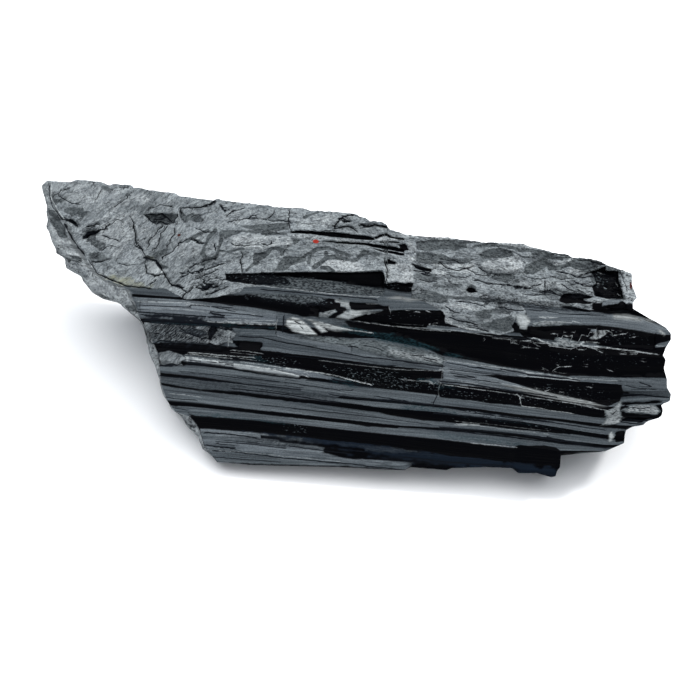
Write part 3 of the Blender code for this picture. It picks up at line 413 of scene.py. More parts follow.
# Soft painted areas: (kind, areas). An area is (column, row, half width, half height, turn, strength).
marks = [
    ("dark", [(76, 211, 14, 4, 4, 0.95), (106, 188, 7, 3, 20, 0.8), (98, 243, 13, 6, 20, 0.55),
     (100, 257, 15, 5, 10, 0.5), (548, 254, 20, 3, 12, 0.8), (425, 297, 22, 4, 8, 0.8),
     (470, 312, 26, 2, 6, 0.5), (500, 311, 14, 4, 0, 0.5)]),
    # light pales the crust of the broken face, and on the flutes brightens the painted sheen
    ("light", [(144, 198, 8, 6, 0, 0.7), (90, 194, 40, 12, 8, 0.35), (152, 235, 8, 8, 0, 0.4),
     (360, 267, 5, 6, 0, 0.9), (490, 241.5, 44, 1.4, 5.5, 0.9), (122, 232, 26, 20, 0, 0.5),
     (112, 289, 26, 9, 30, 0.8), (463, 306, 18, 1.5, 6, 0.9), (484, 321, 10, 1.2, 0, 0.8),
     (462, 328, 16, 2.5, 8, 0.8), (446, 318, 8, 4, 30, 0.8), (437, 268, 12, 8, 20, 0.6),
     (545, 285, 22, 5, 4, 0.35), (240, 216, 20, 6, 4, 0.3), (310, 221, 18, 6, 4, 0.35),
     (158, 268, 7, 7, 0, 0.5), (235, 433, 40, 5, 6, 0.7), (240, 445, 50, 4, 6, 0.8),
     (300, 452, 110, 6, 6, 0.6), (190, 303, 60, 3, 5, 0.5), (245, 314, 34, 7, 4, 0.35),
     (600, 319, 50, 5, 8, 0.3), (57, 237, 3.5, 16, -28, 1), (88, 268, 14, 4, 38, 0.8)]),
    ("speck", [(315, 286, 66, 4.5, 5, 0.42), (292, 299, 48, 4, 6, 0.4), (250, 279, 22, 5, 6, 0.3),
     (278, 361, 26, 4, 5, 0.34), (382, 378, 52, 8, 9, 0.38), (360, 372, 30, 5, 8, 0.34),
     (575, 392, 45, 7, 6, 0.16), (540, 400, 60, 6, 6, 0.22), (600, 280, 9, 12, 0, 0.3),
     (470, 395, 40, 5, 6, 0.26), (620, 338, 34, 7, 4, 0.2), (590, 360, 70, 8, 2, 0.1),
     (398, 287, 13, 3, 5, 0.35), (296, 428, 12, 5, 5, 0.2), (545, 425, 50, 5, 6, 0.18),
     (175, 334, 34, 10, 2, 0.32), (410, 315, 30, 5, 0, 0.12), (480, 420, 30, 4, 5, 0.15),
     (310, 283, 66, 6, 8, 0.34)]),
    ("teal", [(370, 333, 34, 5, 12, 0.9), (405, 342, 34, 5, 12, 0.9), (276, 359, 24, 4, 5, 0.7),
     (400, 381, 44, 7, 8, 0.9), (480, 356, 38, 3, 3, 0.8), (345, 382, 22, 3, 14, 0.8),
     (215, 325, 60, 1.6, 2.5, 0.7), (240, 421, 50, 5, 5, 0.6), (470, 438, 50, 3, 6, 0.5),
     (425, 410, 26, 4, 8, 0.7), (500, 424, 80, 2, 6, 0.6), (246, 343, 14, 4, 2, 0.4)]),
    ("navy", [(345, 444, 80, 4.5, 7.5, 0.95), (460, 460, 90, 7, 5, 0.95), (535, 471, 26, 5, 2, 0.9),
     (390, 452, 50, 5, 7, 0.8)]),
    ("moss", [(127, 282, 25, 5, 14, 0.6), (150, 257.5, 5, 1.6, 8, 0.4)]),
    ("ember", [(631, 285, 1.6, 4, 0, 1), (179, 234.6, 2.1, 1.5, -20, 1)]),
    ("rust", [(315.8, 240.8, 3.2, 2, 6, 1)]),
    ("shade", [(185, 334, 50, 12, 3, 0.8), (222, 336, 14, 10, 0, 0.45), (168, 358, 16, 7, 0, 0.35),
     (415, 461, 46, 3, 5, 0.45), (178, 300, 40, 3, 3, 0.15), (590, 280, 20, 8, 0, 0.2),
     (530, 303.5, 56, 4.5, 7, 0.7), (285, 441, 46, 5, 6, 0.5), (583, 292, 12, 6, 0, 0.35),
     (584, 268, 10, 9, 0, 0.25), (57, 216, 4, 9, -28, 0.25), (228, 332, 3, 8, 0, 0.3)]),
    ("veined", [(200, 279, 40, 14, -8, 1), (565, 285, 34, 12, 8, 0.8), (188, 331, 44, 12, 0, 0.8),
     (228, 262, 40, 8, 5, 0.7), (160, 276, 14, 9, 0, 0.5), (470, 318, 44, 14, 8, 0.5),
     (315, 284, 72, 7, 7, 0.8), (440, 272, 60, 14, 5, 0.6), (540, 262, 60, 22, 8, 0.75)]),
    ("dark", [(590, 266, 26, 8, 12, 0.7), (560, 292, 22, 4, 8, 0.6), (425, 276, 14, 4, 5, 0.6),
     (470, 241, 30, 1.6, 5, 0.6), (600, 255, 22, 4, 20, 0.6), (57, 222, 5, 14, -28, 1),
     (75, 259, 8, 4, 10, 0.8)]),
]
# The two paints that the pieces below use most
jet = {"black": 1}
dim = {"dark": 1}

# Sharp-edged pieces, each over the ones before it: (rise in mm, edge in sheet units, {amounts}, outline)
# satin pieces carry the satin finish with its painted sheen, and light on them brightens that painted sheen
plates = [
    # the broken texture runs on below the ledge at the left and at the right
    (0, 1.5, {"fracture": 1}, [(108, 280), (124, 286), (140, 287.5), (165, 288), (186, 299), (215, 296.5),
     (240, 292), (246, 286), (262, 284), (262, 266), (108, 266)]),
    (0, 1.5, {"fracture": 1}, [(412, 280), (480, 292), (593, 303), (593, 309), (560, 313), (530, 313),
     (516, 316), (514, 331), (500, 334), (470, 330), (445, 322), (443, 311), (425, 301), (412, 297)]),
    # smooth dark patches of the broken face, lying a little lower
    (-0.1, 1.6, {"dark": 0.8}, [(180, 209), (186, 216), (193, 213), (201, 215.5), (204, 220), (197, 222),
     (189, 219.5), (184, 223), (180, 216)]),
    (-0.1, 0.9, dim, [(222, 231), (238, 230.3), (241, 232), (238, 233.5), (232, 235.5),
     (224, 238.5)]),
    (-0.1, 0.9, dim, [(254, 253), (264, 251.5), (273, 248.5), (268, 254.5), (262, 259.5),
     (257, 264.5), (254, 265)]),
    (-0.1, 0.9, dim, [(276, 268), (282, 259), (290, 256.3), (300, 257.3), (307, 256.8),
     (305, 260.5), (296, 262.5), (290, 265.5), (284, 270), (272, 270.8)]),
    (0, 1.2, {"dark": 0.75}, [(240, 225), (262, 223.5), (289, 222), (289, 229), (268, 230), (245, 228)]),
    (0, 1, {"dark": 0.7}, [(260, 231), (287, 231), (288, 234.5), (262, 235)]),
    (-0.1, 0.9, dim, [(150, 254), (158, 251), (166, 248), (169, 249), (164, 254), (158, 258),
     (152, 256)]),
    (-0.1, 0.9, dim, [(160, 264), (168, 266), (166, 269), (161, 268)]),
    (-0.15, 0.9, {"dark": 1, "shade": 0.3}, [(145, 214), (165, 213), (177, 213.5), (175, 222), (166, 224.5),
     (155, 222.5)]),
    (-0.12, 1, dim, [(415, 241.3), (422, 240.2), (432, 239), (442, 238.5), (457, 241.3),
     (466, 243.5), (467, 247), (461.5, 248.5), (454, 250), (447, 248.5), (432, 250.2), (417, 249)]),
    (-0.12, 1, dim, [(415, 251.3), (428, 252), (434, 253.5), (444, 254.7), (450, 257), (457, 258),
     (477, 258.5), (464, 262.5), (450, 263.5), (444, 265), (431.5, 263.5), (417, 261.3)]),
    (-0.12, 1, dim, [(478, 254.7), (484, 250.2), (493, 248), (502, 248), (510.5, 250.2),
     (513, 254.7), (502, 257), (490.5, 258), (481.5, 257.5)]),
    (-0.12, 1, dim, [(523, 271.3), (526, 264.7), (531.5, 262.5), (536, 260.2), (543, 257),
     (547, 258), (547, 264.7), (539.5, 270.2), (533, 273.5), (527, 273)]),
    (-0.12, 1, dim, [(490, 277), (494, 275), (500.5, 272.5), (509.5, 273.5), (515, 275.8),
     (513, 279), (506, 281.3), (498, 280.2)]),
    (0, 1, {"dark": 0.9}, [(545, 262), (556, 263), (566, 262), (575, 258), (580, 262), (570, 266),
     (560, 269), (548, 270)]),
    (0, 1, {"dark": 0.95, "shade": 0.2}, [(440, 294), (454, 295.5), (473, 296.5), (490, 298), (506, 299.5),
     (528, 303), (560, 306.5), (592, 311), (592, 314), (560, 310.5), (528, 306.5), (506, 302.5),
     (490, 301.5), (473, 300), (440, 297)]),
    (0, 1, {"dark": 0.9}, [(475, 311.5), (483, 309), (490.5, 312.5), (492, 317), (481.5, 320.2), (475, 317)]),
    (0, 1, {"dark": 0.95}, [(479.5, 324.7), (489.5, 321.3), (502, 317), (512, 315.8), (515, 320.2),
     (514, 328), (506, 331.3), (495, 330.2), (484, 328)]),
    (0, 1.2, {"dark": 0.75}, [(420, 288), (436, 291), (446, 296), (446, 302), (434, 301), (424, 298)]),
    # pale smooth plates of the broken face, standing a little proud
    (0.12, 0.8, {"light": 1}, [(484, 261.3), (493, 258), (508.3, 257.5), (518.3, 255.8), (522.8, 260.2),
     (521.7, 267), (515, 272.3), (504, 273), (495, 272.5), (488.3, 271.3), (480.5, 267)]),
    (0.1, 0.8, {"light": 0.8}, [(466, 264.7), (476, 262.5), (477, 270.2), (466, 273.5), (461.7, 270.2)]),
    (0.1, 0.8, {"light": 0.7}, [(408.5, 241.3), (415, 242.5), (415.5, 257), (413, 262.5), (409, 262)]),
    (0.12, 0.8, {"light": 1}, [(320, 262.5), (327, 259.3), (340, 258.8), (352, 262), (358, 262), (358, 271),
     (335, 271), (331, 267), (322, 265.5)]),
    (0.1, 0.8, {"light": 1}, [(567, 268.5), (571, 266), (579, 268), (586, 270), (588, 273.5), (578, 274.5),
     (571, 272.5)]),
    (0.1, 0.8, {"light": 0.7}, [(553, 263.5), (560, 261), (570, 257.5), (575, 258.5), (568, 262.5),
     (556, 265.5)]),
    (0.1, 0.8, {"light": 0.6}, [(320, 217), (330, 213.5), (335, 216), (334, 225), (326, 228), (321, 226)]),
    (0.1, 0.8, {"light": 0.8}, [(233, 236), (250, 234.5), (270, 236), (290, 237), (291, 245), (276, 245.5),
     (262, 250), (248, 248), (232, 247)]),
    (0.1, 0.8, {"light": 0.45}, [(177, 246), (184, 241), (196, 243.5), (201, 246), (199, 256), (186, 258),
     (178, 254)]),
    (0.08, 0.8, {"light": 0.45}, [(146, 261), (154, 261), (158, 268), (161, 274), (150, 274), (147, 272)]),
    # bright band of painted sheen below the broken face
    (0, 1.6, {"satinAndSheen": 1, "light": 1}, [(140, 300.5), (165, 301), (190, 302), (209, 306.5), (240, 310),
     (277, 314), (276, 324), (232, 322.5), (200, 319.5), (180, 318), (177, 313), (140, 310.5)]),
    # dark mottled rods at the left
    (0, 1.5, {"fracture": 0.9}, [(143, 322), (180, 325), (212, 326), (213, 343), (180, 341), (148, 340)]),
    (0, 1.6, {"satinAndSheen": 0.75, "shade": 0.25}, [(176, 330), (190, 327.5), (203, 330), (208, 333),
     (200, 336.5), (188, 334)]),
    (0, 1.6, {"fracture": 0.9}, [(215, 328), (222, 325.5), (228, 329), (236, 333), (231, 339), (238, 343.5),
     (226, 342), (218, 346), (209, 342), (211, 337)]),
    (-0.3, 0.9, {"black": 0.95}, [(211, 325.5), (217, 326.3), (216.5, 331), (212.5, 334), (210.5, 339),
     (207, 338.5), (209, 332)]),
    (0, 1.2, {"fracture": 0.8}, [(159, 352), (170, 350.5), (181, 354), (188, 358.5), (180, 361), (184, 366),
     (172, 363), (161, 366.5)]),
    (0, 1, {"satinAndSheen": 0.9}, [(231, 327.5), (262, 329), (276, 330), (275, 335.5), (262, 335), (243, 333.5),
     (234, 330.5)]),
    # smooth strip of painted sheen running to the upper right corner
    (0, 1.2, {"satinAndSheen": 1, "light": 0.4}, [(520, 302), (600, 312), (640, 318), (659, 322), (666, 328),
     (655, 333.5), (625, 329), (600, 325), (560, 323), (530, 319)]),
    # black hollow under the ledge, painted black for the stone and for the shade under the ledge, with the
    # speckled strip below it
    (-0.8, 0.9, jet, [(263, 273.5), (320, 272), (363, 273), (382, 271.5), (383, 288.5),
     (328.5, 279.5), (287, 276)]),
    (-0.2, 1, {"frost": 0.62, "shade": 0.62}, [(240, 275), (263, 274), (287, 276.5), (328, 280), (384, 290),
     (384, 295), (340, 292.5), (300, 288.5), (262, 284)]),
    (-0.3, 0.9, {"black": 0.9}, [(225, 273), (262, 272.5), (285, 277.5), (292, 284), (262, 283.5),
     (240, 282.5), (226, 280)]),
    (0, 0.9, {"frost": 0.58, "shade": 0.72}, [(246, 294), (262, 293.5), (300, 295), (325, 297), (328, 304),
     (310, 306), (300, 303.5), (262, 298)]),
    (0.35, 0.8, {"fracture": 1, "light": 0.9}, [(384.5, 263.5), (394, 262), (413, 264), (413.5, 282),
     (405, 283), (396, 281), (385, 284)]),
    (-0.5, 0.8, jet, [(385, 283.5), (396, 281.5), (405, 283.5), (413, 282), (411, 292),
     (398, 290.5), (385, 288)]),
    (-0.4, 0.8, jet, [(384, 263), (386, 259.7), (388.3, 257.4), (390, 259.7), (394.5, 260.8),
     (394, 263.5), (388, 262.6), (384.5, 264)]),
    # slit and the stacked thin plates of the upper middle
    (-0.6, 0.7, jet, [(289.5, 231.3), (299.5, 230), (333, 231.8), (366, 235), (374, 237.3),
     (374, 239.3), (355, 238.3), (333, 236.3), (310.5, 233.3), (290.5, 232.3)]),
    (0.15, 0.7, {"light": 0.8}, [(291, 234), (330, 237.6), (366, 241.3), (366, 243), (330, 239.8),
     (292, 236.6)]),
    (-0.3, 0.6, dim, [(292, 238.5), (301, 239), (295, 244.7)]),
    (-0.45, 0.6, jet, [(319, 240), (340, 241.3), (364, 242.3), (373, 243.3), (397, 247),
     (405, 250), (404, 252), (388, 249), (373, 246.5), (364, 244.3), (340, 242.7)]),
    (-0.4, 0.6, {"black": 0.95}, [(372, 248), (388, 250), (405, 253), (404, 255), (396, 254), (380, 250.5)]),
    (-0.4, 0.6, {"black": 0.9}, [(374, 236.8), (383, 233.4), (386.5, 232.6), (391, 236), (404, 238),
     (404, 239.5), (389.5, 237.3), (386, 234.8), (376, 238.6)]),
    (0.3, 0.7, {"light": 0.8}, [(374, 239.5), (382, 235.5), (386, 234.8), (398, 239.5), (396, 241),
     (380, 241)]),
    (-0.3, 0.6, {"black": 0.8}, [(379.5, 240.8), (400, 241.5), (400, 242.7), (380, 242)]),
    (-0.3, 0.6, {"black": 0.8}, [(398, 244), (406, 243), (409, 250), (402, 250)]),
    (-0.4, 0.8, jet, [(467, 288), (471.7, 287), (475, 288.5), (477, 291.3), (471.7, 292.7),
     (467.8, 291.3)]),
    (-0.3, 0.7, jet, [(413, 264), (417, 266), (424, 267), (431.7, 269), (431.7, 271),
     (422.8, 270.4), (416, 267.8)]),
    (-0.3, 0.8, jet, [(83, 238.5), (85, 234.5), (90, 231.8), (97, 229.5), (103, 227.5),
     (98, 231.8), (93, 234.2), (88, 237.8)]),
    (-0.3, 0.8, {"black": 0.95}, [(66, 218.3), (71, 218.8), (77, 222.5), (75, 224.5), (69, 221.5)]),
    # window and right corner
    (-0.7, 0.9, jet, [(591.7, 271.7), (600, 268.3), (605.5, 266), (606, 270.5), (611, 270),
     (617, 270.5), (618.5, 277), (619.5, 284), (622, 291.7), (623, 298), (606.7, 298), (595, 295.5),
     (592, 287), (595.5, 282.8), (594.4, 277)]),
    (0.3, 0.9, {"fracture": 1, "light": 0.3}, [(620, 267), (632, 272), (633, 284), (639, 297), (632, 303),
     (626, 300), (622, 290)]),
    (-0.4, 0.9, {"black": 0.95}, [(559, 300.5), (562, 295.5), (565, 293.3), (569, 292.5), (580, 293),
     (592, 295.7), (591.7, 297.4), (583.3, 298), (585, 300.5), (593.3, 302.4), (586.7, 303.6),
     (576.7, 302.4), (565.5, 303)]),
    (-0.3, 0.8, {"black": 0.95}, [(558, 305), (568, 305.5), (591, 309.8), (591, 311.4), (573.3, 309.8)]),
    (0, 0.8, {"satinAndSheen": 0.9, "light": 0.8}, [(602, 301.7), (606.7, 299), (620, 298.3), (622, 300.5),
     (620, 302.8), (602, 305.5)]),
    (-0.35, 0.7, jet, [(605.5, 307), (617.8, 303.7), (620, 300.5), (623, 300.5), (626.5, 306),
     (624.4, 309.6), (611, 309.8)]),
    (-0.2, 0.6, {"black": 0.9}, [(628, 310.5), (637.8, 311.5), (643, 315.2), (637, 315.2), (629, 312.5)]),
    (0.15, 0.7, {"white": 0.55}, [(613, 313.6), (627, 313.8), (640, 316.5), (654, 320), (655.5, 321.7),
     (640, 319.3), (613, 316.9)]),
    # dark lenses and light flecks below the ledge
    (-0.3, 0.9, jet, [(192, 299.3), (212, 298.5), (222, 295.5), (250, 294.3), (262, 297),
     (300, 303), (320, 307), (319, 317), (300, 315.5), (283, 313), (250, 306.5), (215, 302.5)]),
    (-0.3, 0.8, jet, [(306, 303), (320, 302), (328, 298.5), (340, 298.2), (350, 301.5),
     (372, 303.5), (389, 305.5), (389, 310), (372, 308.5), (354, 309.5), (346, 309.5), (338, 309),
     (326, 312), (316, 312)]),
    (0.15, 0.5, {"frost": 0.9, "white": 0.3}, [(333, 301.6), (338, 299.8), (344, 300.6), (349, 302.8),
     (352, 306), (349, 308), (343, 307.3), (338, 305), (341.5, 304.6), (346.5, 306), (348, 304.6),
     (344, 302.4), (338, 301.5)]),
    (-0.5, 0.9, jet, [(352, 318.3), (362, 314.3), (376, 311.5), (400, 309.5), (440, 310.5),
     (444.5, 316), (438, 321), (430, 323), (427, 327.5), (400, 325.7), (378, 322.7), (360, 320)]),
    (0.15, 0.7, {"frost": 0.75, "white": 0.35}, [(336, 317), (344, 312), (352, 310), (389, 311.3),
     (372, 313), (360, 315.7), (348, 318.3)]),
    (0.15, 0.7, {"frost": 0.9}, [(319, 312.5), (334, 308.5), (336, 311), (328, 316), (320, 316.5)]),
    (0.1, 0.6, {"white": 0.35}, [(385, 296.5), (398, 295.7), (412, 298), (424, 300.6), (410, 300.4),
     (394, 298.8)]),
    (0.25, 0.8, {"frost": 0.8, "white": 0.5}, [(515, 314.7), (520.5, 313.3), (528.3, 317), (529.5, 322.5),
     (526, 329), (520.5, 328), (518.3, 321.3)]),
    (-0.2, 0.6, {"black": 0.9}, [(512, 326), (516, 321), (518, 324), (521, 329), (516, 331)]),
    (0.1, 0.7, {"frost": 0.9}, [(532, 324.5), (545, 319.5), (560, 321), (575, 322), (560, 324), (540, 325)]),
    (-0.35, 0.9, jet, [(529, 327.8), (548, 325.3), (600, 324.8), (618, 328), (640, 331.5),
     (656, 335), (656, 350), (630, 348), (600, 345), (575, 335), (548, 331)]),
    (-0.2, 0.8, {"black": 0.95}, [(520, 332), (540, 333), (556, 336), (556, 340), (540, 338), (524, 336.5)]),
    (-0.3, 1.2, jet, [(391, 331), (398, 328), (440, 331), (510, 338), (535, 342), (560, 351),
     (664, 356), (666, 374), (617, 377), (563, 374), (520, 368), (480, 361), (450, 352), (430, 345)]),
    (-0.15, 0.8, {"black": 0.95}, [(345, 320.5), (390, 327), (391, 333), (372, 331.5), (350, 326)]),
    (0.12, 0.5, {"frost": 0.95}, [(555, 339), (562, 337.5), (568, 339.5), (578, 341), (584, 344),
     (574, 346.5), (564, 346.5), (558, 342)]),
    (0.1, 0.5, {"satinAndSheen": 1, "light": 1}, [(588, 329), (606, 331), (612, 333.5), (600, 333)]),
    # pale panel and wedge, frosted strip, panels and breaks across the flutes
    (0.2, 0.6, {"white": 0.8}, [(286.5, 318.5), (294, 317.3), (302, 320), (308, 326), (316, 333),
     (318, 335), (305, 334.3), (292, 330.3), (286, 325)]),
    (0.15, 0.6, {"white": 0.75}, [(311, 321.3), (318, 323.5), (328, 331.3), (322, 332.3), (316, 327.3)]),
    (0.12, 0.6, {"white": 0.5}, [(303, 317.5), (318, 321.5), (340, 326.8), (352, 330), (340, 331),
     (330, 330), (322, 325.5)]),
    (0, 0.9, {"satinAndSheen": 0.9, "light": 0.35}, [(276, 331), (300, 335), (330, 336), (350, 340), (352, 353),
     (320, 347), (290, 342), (277, 337)]),
    (0.1, 2.4, {"frost": 0.55}, [(296, 336.5), (330, 337), (352, 339), (376, 341), (400, 346), (425, 351),
     (437, 354.5), (443, 358), (443, 364.5), (425, 362.5), (400, 359), (378, 354), (350, 346), (322, 341)]),
    (0.1, 1.4, {"frost": 0.8}, [(384, 347), (400, 350), (425, 352.5), (437, 354.5), (443, 358), (443, 364),
     (425, 362), (400, 358.5), (390, 355)]),
    (-0.3, 0.8, jet, [(233, 341), (245, 340), (260, 341.5), (264, 344.5), (260, 350), (250, 349.5),
     (236, 345.7)]),
    (-0.3, 0.9, {"black": 0.95}, [(160, 342.5), (180, 342.5), (205, 344.5), (232, 346.5), (262, 352),
     (262, 356), (232, 352.7), (210, 352), (180, 350), (159, 349)]),
    (-0.2, 1, jet, [(262, 352), (290, 354.7), (310, 357.3), (345, 361), (385, 366), (443, 372),
     (443, 378), (405, 378.5), (437, 384), (438, 394), (400, 390), (372, 386), (345, 379.3), (318, 372),
     (300, 368), (280, 364), (262, 359)]),
    # bright stripe along the flutes: painted highlight
    (0.1, 1, {"satinAndSheen": 1, "light": 1, "white": 0.3}, [(185, 357.3), (200, 358.5), (215, 360), (235, 364),
     (255, 366.3), (270, 369), (285, 372), (300, 375.5), (299, 376.8), (280, 374.3), (262, 371.7),
     (240, 368.7), (220, 364.5), (200, 361.6), (187, 361.3)]),
    (0, 0.7, {"satinAndSheen": 1, "light": 1}, [(280, 366.5), (300, 369.5), (318, 373), (345, 380.5), (335, 380),
     (318, 377.7), (300, 375.5), (285, 371.5)]),
    (0, 0.6, {"satinAndSheen": 1, "light": 0.6}, [(443, 359.5), (480, 365), (520, 371), (560, 376.5), (617, 381),
     (560, 378.5), (500, 375), (480, 374.5), (510, 379), (535, 386.5), (560, 392.5), (540, 391), (500, 385),
     (443, 378)]),
    (0.15, 0.7, {"satinAndSheen": 0.9, "light": 0.2, "shade": 0.2}, [(619, 377), (640, 378.5), (660, 380.5),
     (662, 377), (667, 379), (667, 386), (671, 392), (670, 395), (650, 395), (625, 392), (621, 385)]),
    (0, 0.9, jet, [(488, 375.5), (500, 376.3), (520, 378), (560, 380), (600, 384), (618, 384),
     (620, 400), (608, 406), (590, 401.3), (560, 395), (546, 391.7), (530, 387.7), (515, 383)]),
    (0, 0.6, {"white": 0.32}, [(500, 383.5), (530, 388), (565, 395.5), (592, 401.5), (607, 407.3),
     (590, 406), (560, 399.5), (525, 392.3)]),
    (0, 0.9, jet, [(443, 387.5), (470, 390.5), (500, 394.5), (520, 397), (560, 402.5), (605, 411),
     (605, 418), (570, 413.5), (550, 409.5), (520, 405), (490, 403), (470, 400), (440, 397)]),
    (0.25, 0.7, {"frost": 0.85, "white": 0.1}, [(619, 401), (622, 401), (620, 405), (622, 420), (620, 423),
     (612, 424.5), (603, 424.5), (607, 418), (606, 412), (612, 409), (617, 404)]),
    (0.15, 0.8, {"frost": 0.95}, [(622, 410), (630, 406), (640, 404), (655, 405), (661, 411), (655, 414),
     (640, 413), (628, 412)]),
    (-0.3, 0.6, jet, [(621, 402.5), (660, 400.5), (662, 403), (640, 403.2), (624, 405)]),
    (-0.2, 0.5, jet, [(622, 413.5), (648, 414), (650, 415.5), (622, 415.5)]),
    (-0.2, 0.5, jet, [(622, 418), (645, 419), (642, 422), (622, 421)]),
    (-0.35, 0.7, jet, [(615, 432), (625, 430), (624, 441), (616, 442)]),
    (0.15, 0.5, {"frost": 0.9, "white": 0.4}, [(609, 434), (611.5, 432), (614, 436), (612, 439), (613, 441),
     (610, 442)]),
    # the long dark bands between the flutes
    (0, 1, {"satinAndSheen": 0.9, "shade": 0.4}, [(160, 375.5), (200, 379.3), (240, 383.5), (300, 389.5),
     (340, 394.5), (330, 402), (300, 399), (262, 395), (240, 392), (200, 390), (161, 383.3)]),
    (0, 0.7, jet, [(161, 382.7), (200, 389.3), (225, 390.8), (240, 391.6), (262, 394.4),
     (300, 398.8), (330, 401.5), (350, 403), (370, 406), (390, 408.5), (410, 409.8), (430, 411), (450, 413),
     (465, 417), (486, 418), (500, 420.5), (520, 423.5), (545, 427), (560, 429), (608, 434.5), (608, 438),
     (570, 434), (545, 431.8), (510, 428.5), (490, 426), (470, 424), (445, 421.5), (421, 419.8),
     (402, 416.7), (380, 413), (360, 409.7), (330, 405.8), (300, 402.2), (262, 397.8), (240, 394.8),
     (225, 393.4), (200, 391.4), (161, 384.6)]),
    (0, 0.7, jet, [(168, 401), (200, 403.8), (225, 406), (240, 408.3), (262, 411), (290, 414),
     (310, 416), (330, 418.2), (348, 420.2), (366, 422.6), (390, 424.8), (400, 425.5), (398, 428.2),
     (390, 427.9), (366, 425.9), (348, 423.2), (330, 421.2), (310, 419), (290, 417), (262, 414),
     (240, 411.5), (228, 410.2), (200, 407), (169, 405.2)]),
    (0, 0.9, jet, [(188, 412.5), (195, 415.5), (210, 416.5), (243, 419.5), (260, 421), (280, 424),
     (300, 426.5), (330, 430.5), (352, 433), (390, 436.6), (414, 438.4), (438, 440.2), (462, 443.8),
     (486, 446.2), (515, 448), (517, 445.4), (545, 445.3), (556, 447.4), (562, 452), (562, 467),
     (534, 463.6), (498, 460.6), (474, 457.6), (450, 455.8), (432, 452.2), (414, 448.6), (390, 446.2),
     (348, 442), (320, 439.3), (300, 436), (262, 432), (243, 430.5), (225, 428.5), (199, 426.5)]),
    (0, 1.2, {"satinAndSheen": 0.9}, [(199, 428), (225, 430), (262, 433.5), (300, 437.5), (322, 441), (330, 444),
     (322, 452), (345, 458), (380, 463), (398, 468), (356, 466), (217, 463), (205, 446)]),
    (0, 2.4, {"satinAndSheen": 0.75}, [(326, 441), (354, 443.8), (402, 448.6), (418, 451.5), (400, 453.5),
     (356, 449.5), (320, 447)]),
]
# Thin lines drawn over the pieces: (rise in mm, half width in sheet units, {amounts}, points)
strokes = [
    (-0.1, 2, dim, [(215.5, 230), (208, 238), (204.5, 246), (202.3, 253.5), (205, 256)]),
    (-0.1, 1.8, dim, [(221, 231), (220.5, 238), (219, 248), (216.5, 256), (208, 260.5),
     (203, 263.5)]),
    (-0.05, 1.3, dim, [(203, 260), (210, 257.5), (216, 256)]),
    (-0.05, 1, dim, [(223, 230.5), (240, 230.5), (255, 231.5), (270, 230)]),
    (-0.1, 1.4, dim, [(219, 250.5), (228, 251), (236, 249.5), (244, 249)]),
    (-0.1, 1.5, dim, [(255, 255), (262, 254.5), (269.5, 248.7), (276, 247.3), (283, 249.7),
     (282, 253)]),
    (-0.1, 1.3, dim, [(258, 259), (252, 265), (246, 270)]),
    (-0.1, 1.4, dim, [(284, 257.5), (301.5, 257.5), (310.5, 252), (317, 247.7), (326, 247)]),
    (-0.12, 1.9, dim, [(314, 266.5), (320.5, 262), (326, 257.5), (335, 256.3), (344, 258),
     (351.7, 259.7), (357, 258.5), (360.5, 254), (364, 251), (370, 253), (379, 254)]),
    (-0.1, 1.3, dim, [(308.5, 262), (310.5, 254), (317, 248.5), (326, 247.5), (333, 248.5),
     (337, 251), (344, 253), (350, 256)]),
    (-0.1, 1.2, dim, [(326, 251.5), (326.5, 257)]),
    (-0.1, 1.7, dim, [(321.5, 267), (327, 267.3), (333, 270.5)]),
    (-0.1, 1.6, dim, [(304, 217), (313, 213.5), (318, 212)]),
    (-0.1, 1.3, dim, [(187, 241), (192, 237), (200, 233.5), (208, 230)]),
    (-0.1, 1.2, dim, [(473, 245.8), (490.5, 244.7), (505, 245.5), (512.8, 247), (520.5, 250)]),
    (-0.1, 1.5, dim, [(521.7, 249.5), (530.5, 248.7), (538, 250.8), (546, 252.5)]),
    (-0.1, 1.6, dim, [(434, 285), (448, 286), (460.5, 284.7)]),
    (-0.05, 1, dim, [(570, 262), (580, 260), (592, 260.5)]),
    (0.1, 1.3, {"light": 0.9}, [(439.5, 265.5), (464, 264.7)]),
    (-0.1, 1.4, {"black": 0.85}, [(262, 436.5), (280, 439.5), (300, 442), (320, 444.3), (340, 446.5),
     (364, 449.5)]),
    (0.1, 1, {"white": 0.6}, [(660, 330), (664, 334)]),
    (0, 1.2, {"light": 0.9}, [(402, 233.8), (430, 237.2), (470, 239.8), (500, 242.6), (540, 247.6)]),
]
seeds = {"striation": 71, "plate": 9, "grain": 23}


def along(knots, at):
    return np.interp(at, [float(k[0]) for k in knots], [float(k[1]) for k in knots])


def smooth(t):
    t = np.clip(t, 0.0, 1.0)
    return t * t * (3.0 - 2.0 * t)


def wave(a, seed):
    # random wavy line between -1 and 1
    rng = np.random.default_rng(seed)
    values = rng.uniform(-1.0, 1.0, 400)
    return np.interp(a, np.arange(400) - 100.0, values)


def noise(u, v, seed):
    # smooth random field between -1 and 1
    rng = np.random.default_rng(seed)
    table = rng.uniform(-1.0, 1.0, (97, 97))
    iu = np.floor(u).astype(int)
    iv = np.floor(v).astype(int)
    fu = smooth(u - iu)
    fv = smooth(v - iv)
    a = table[iu % 97, iv % 97]
    b = table[(iu + 1) % 97, iv % 97]
    c = table[iu % 97, (iv + 1) % 97]
    d = table[(iu + 1) % 97, (iv + 1) % 97]
    return (a * (1 - fu) + b * fu) * (1 - fv) + (c * (1 - fu) + d * fu) * fv


def layered(u, v, seed, count=4):
    total = 0.0
    for k in range(count):
        total = total + noise(u * 2.0 ** k, v * 2.0 ** k, seed + k) * 0.55 ** k
    return total


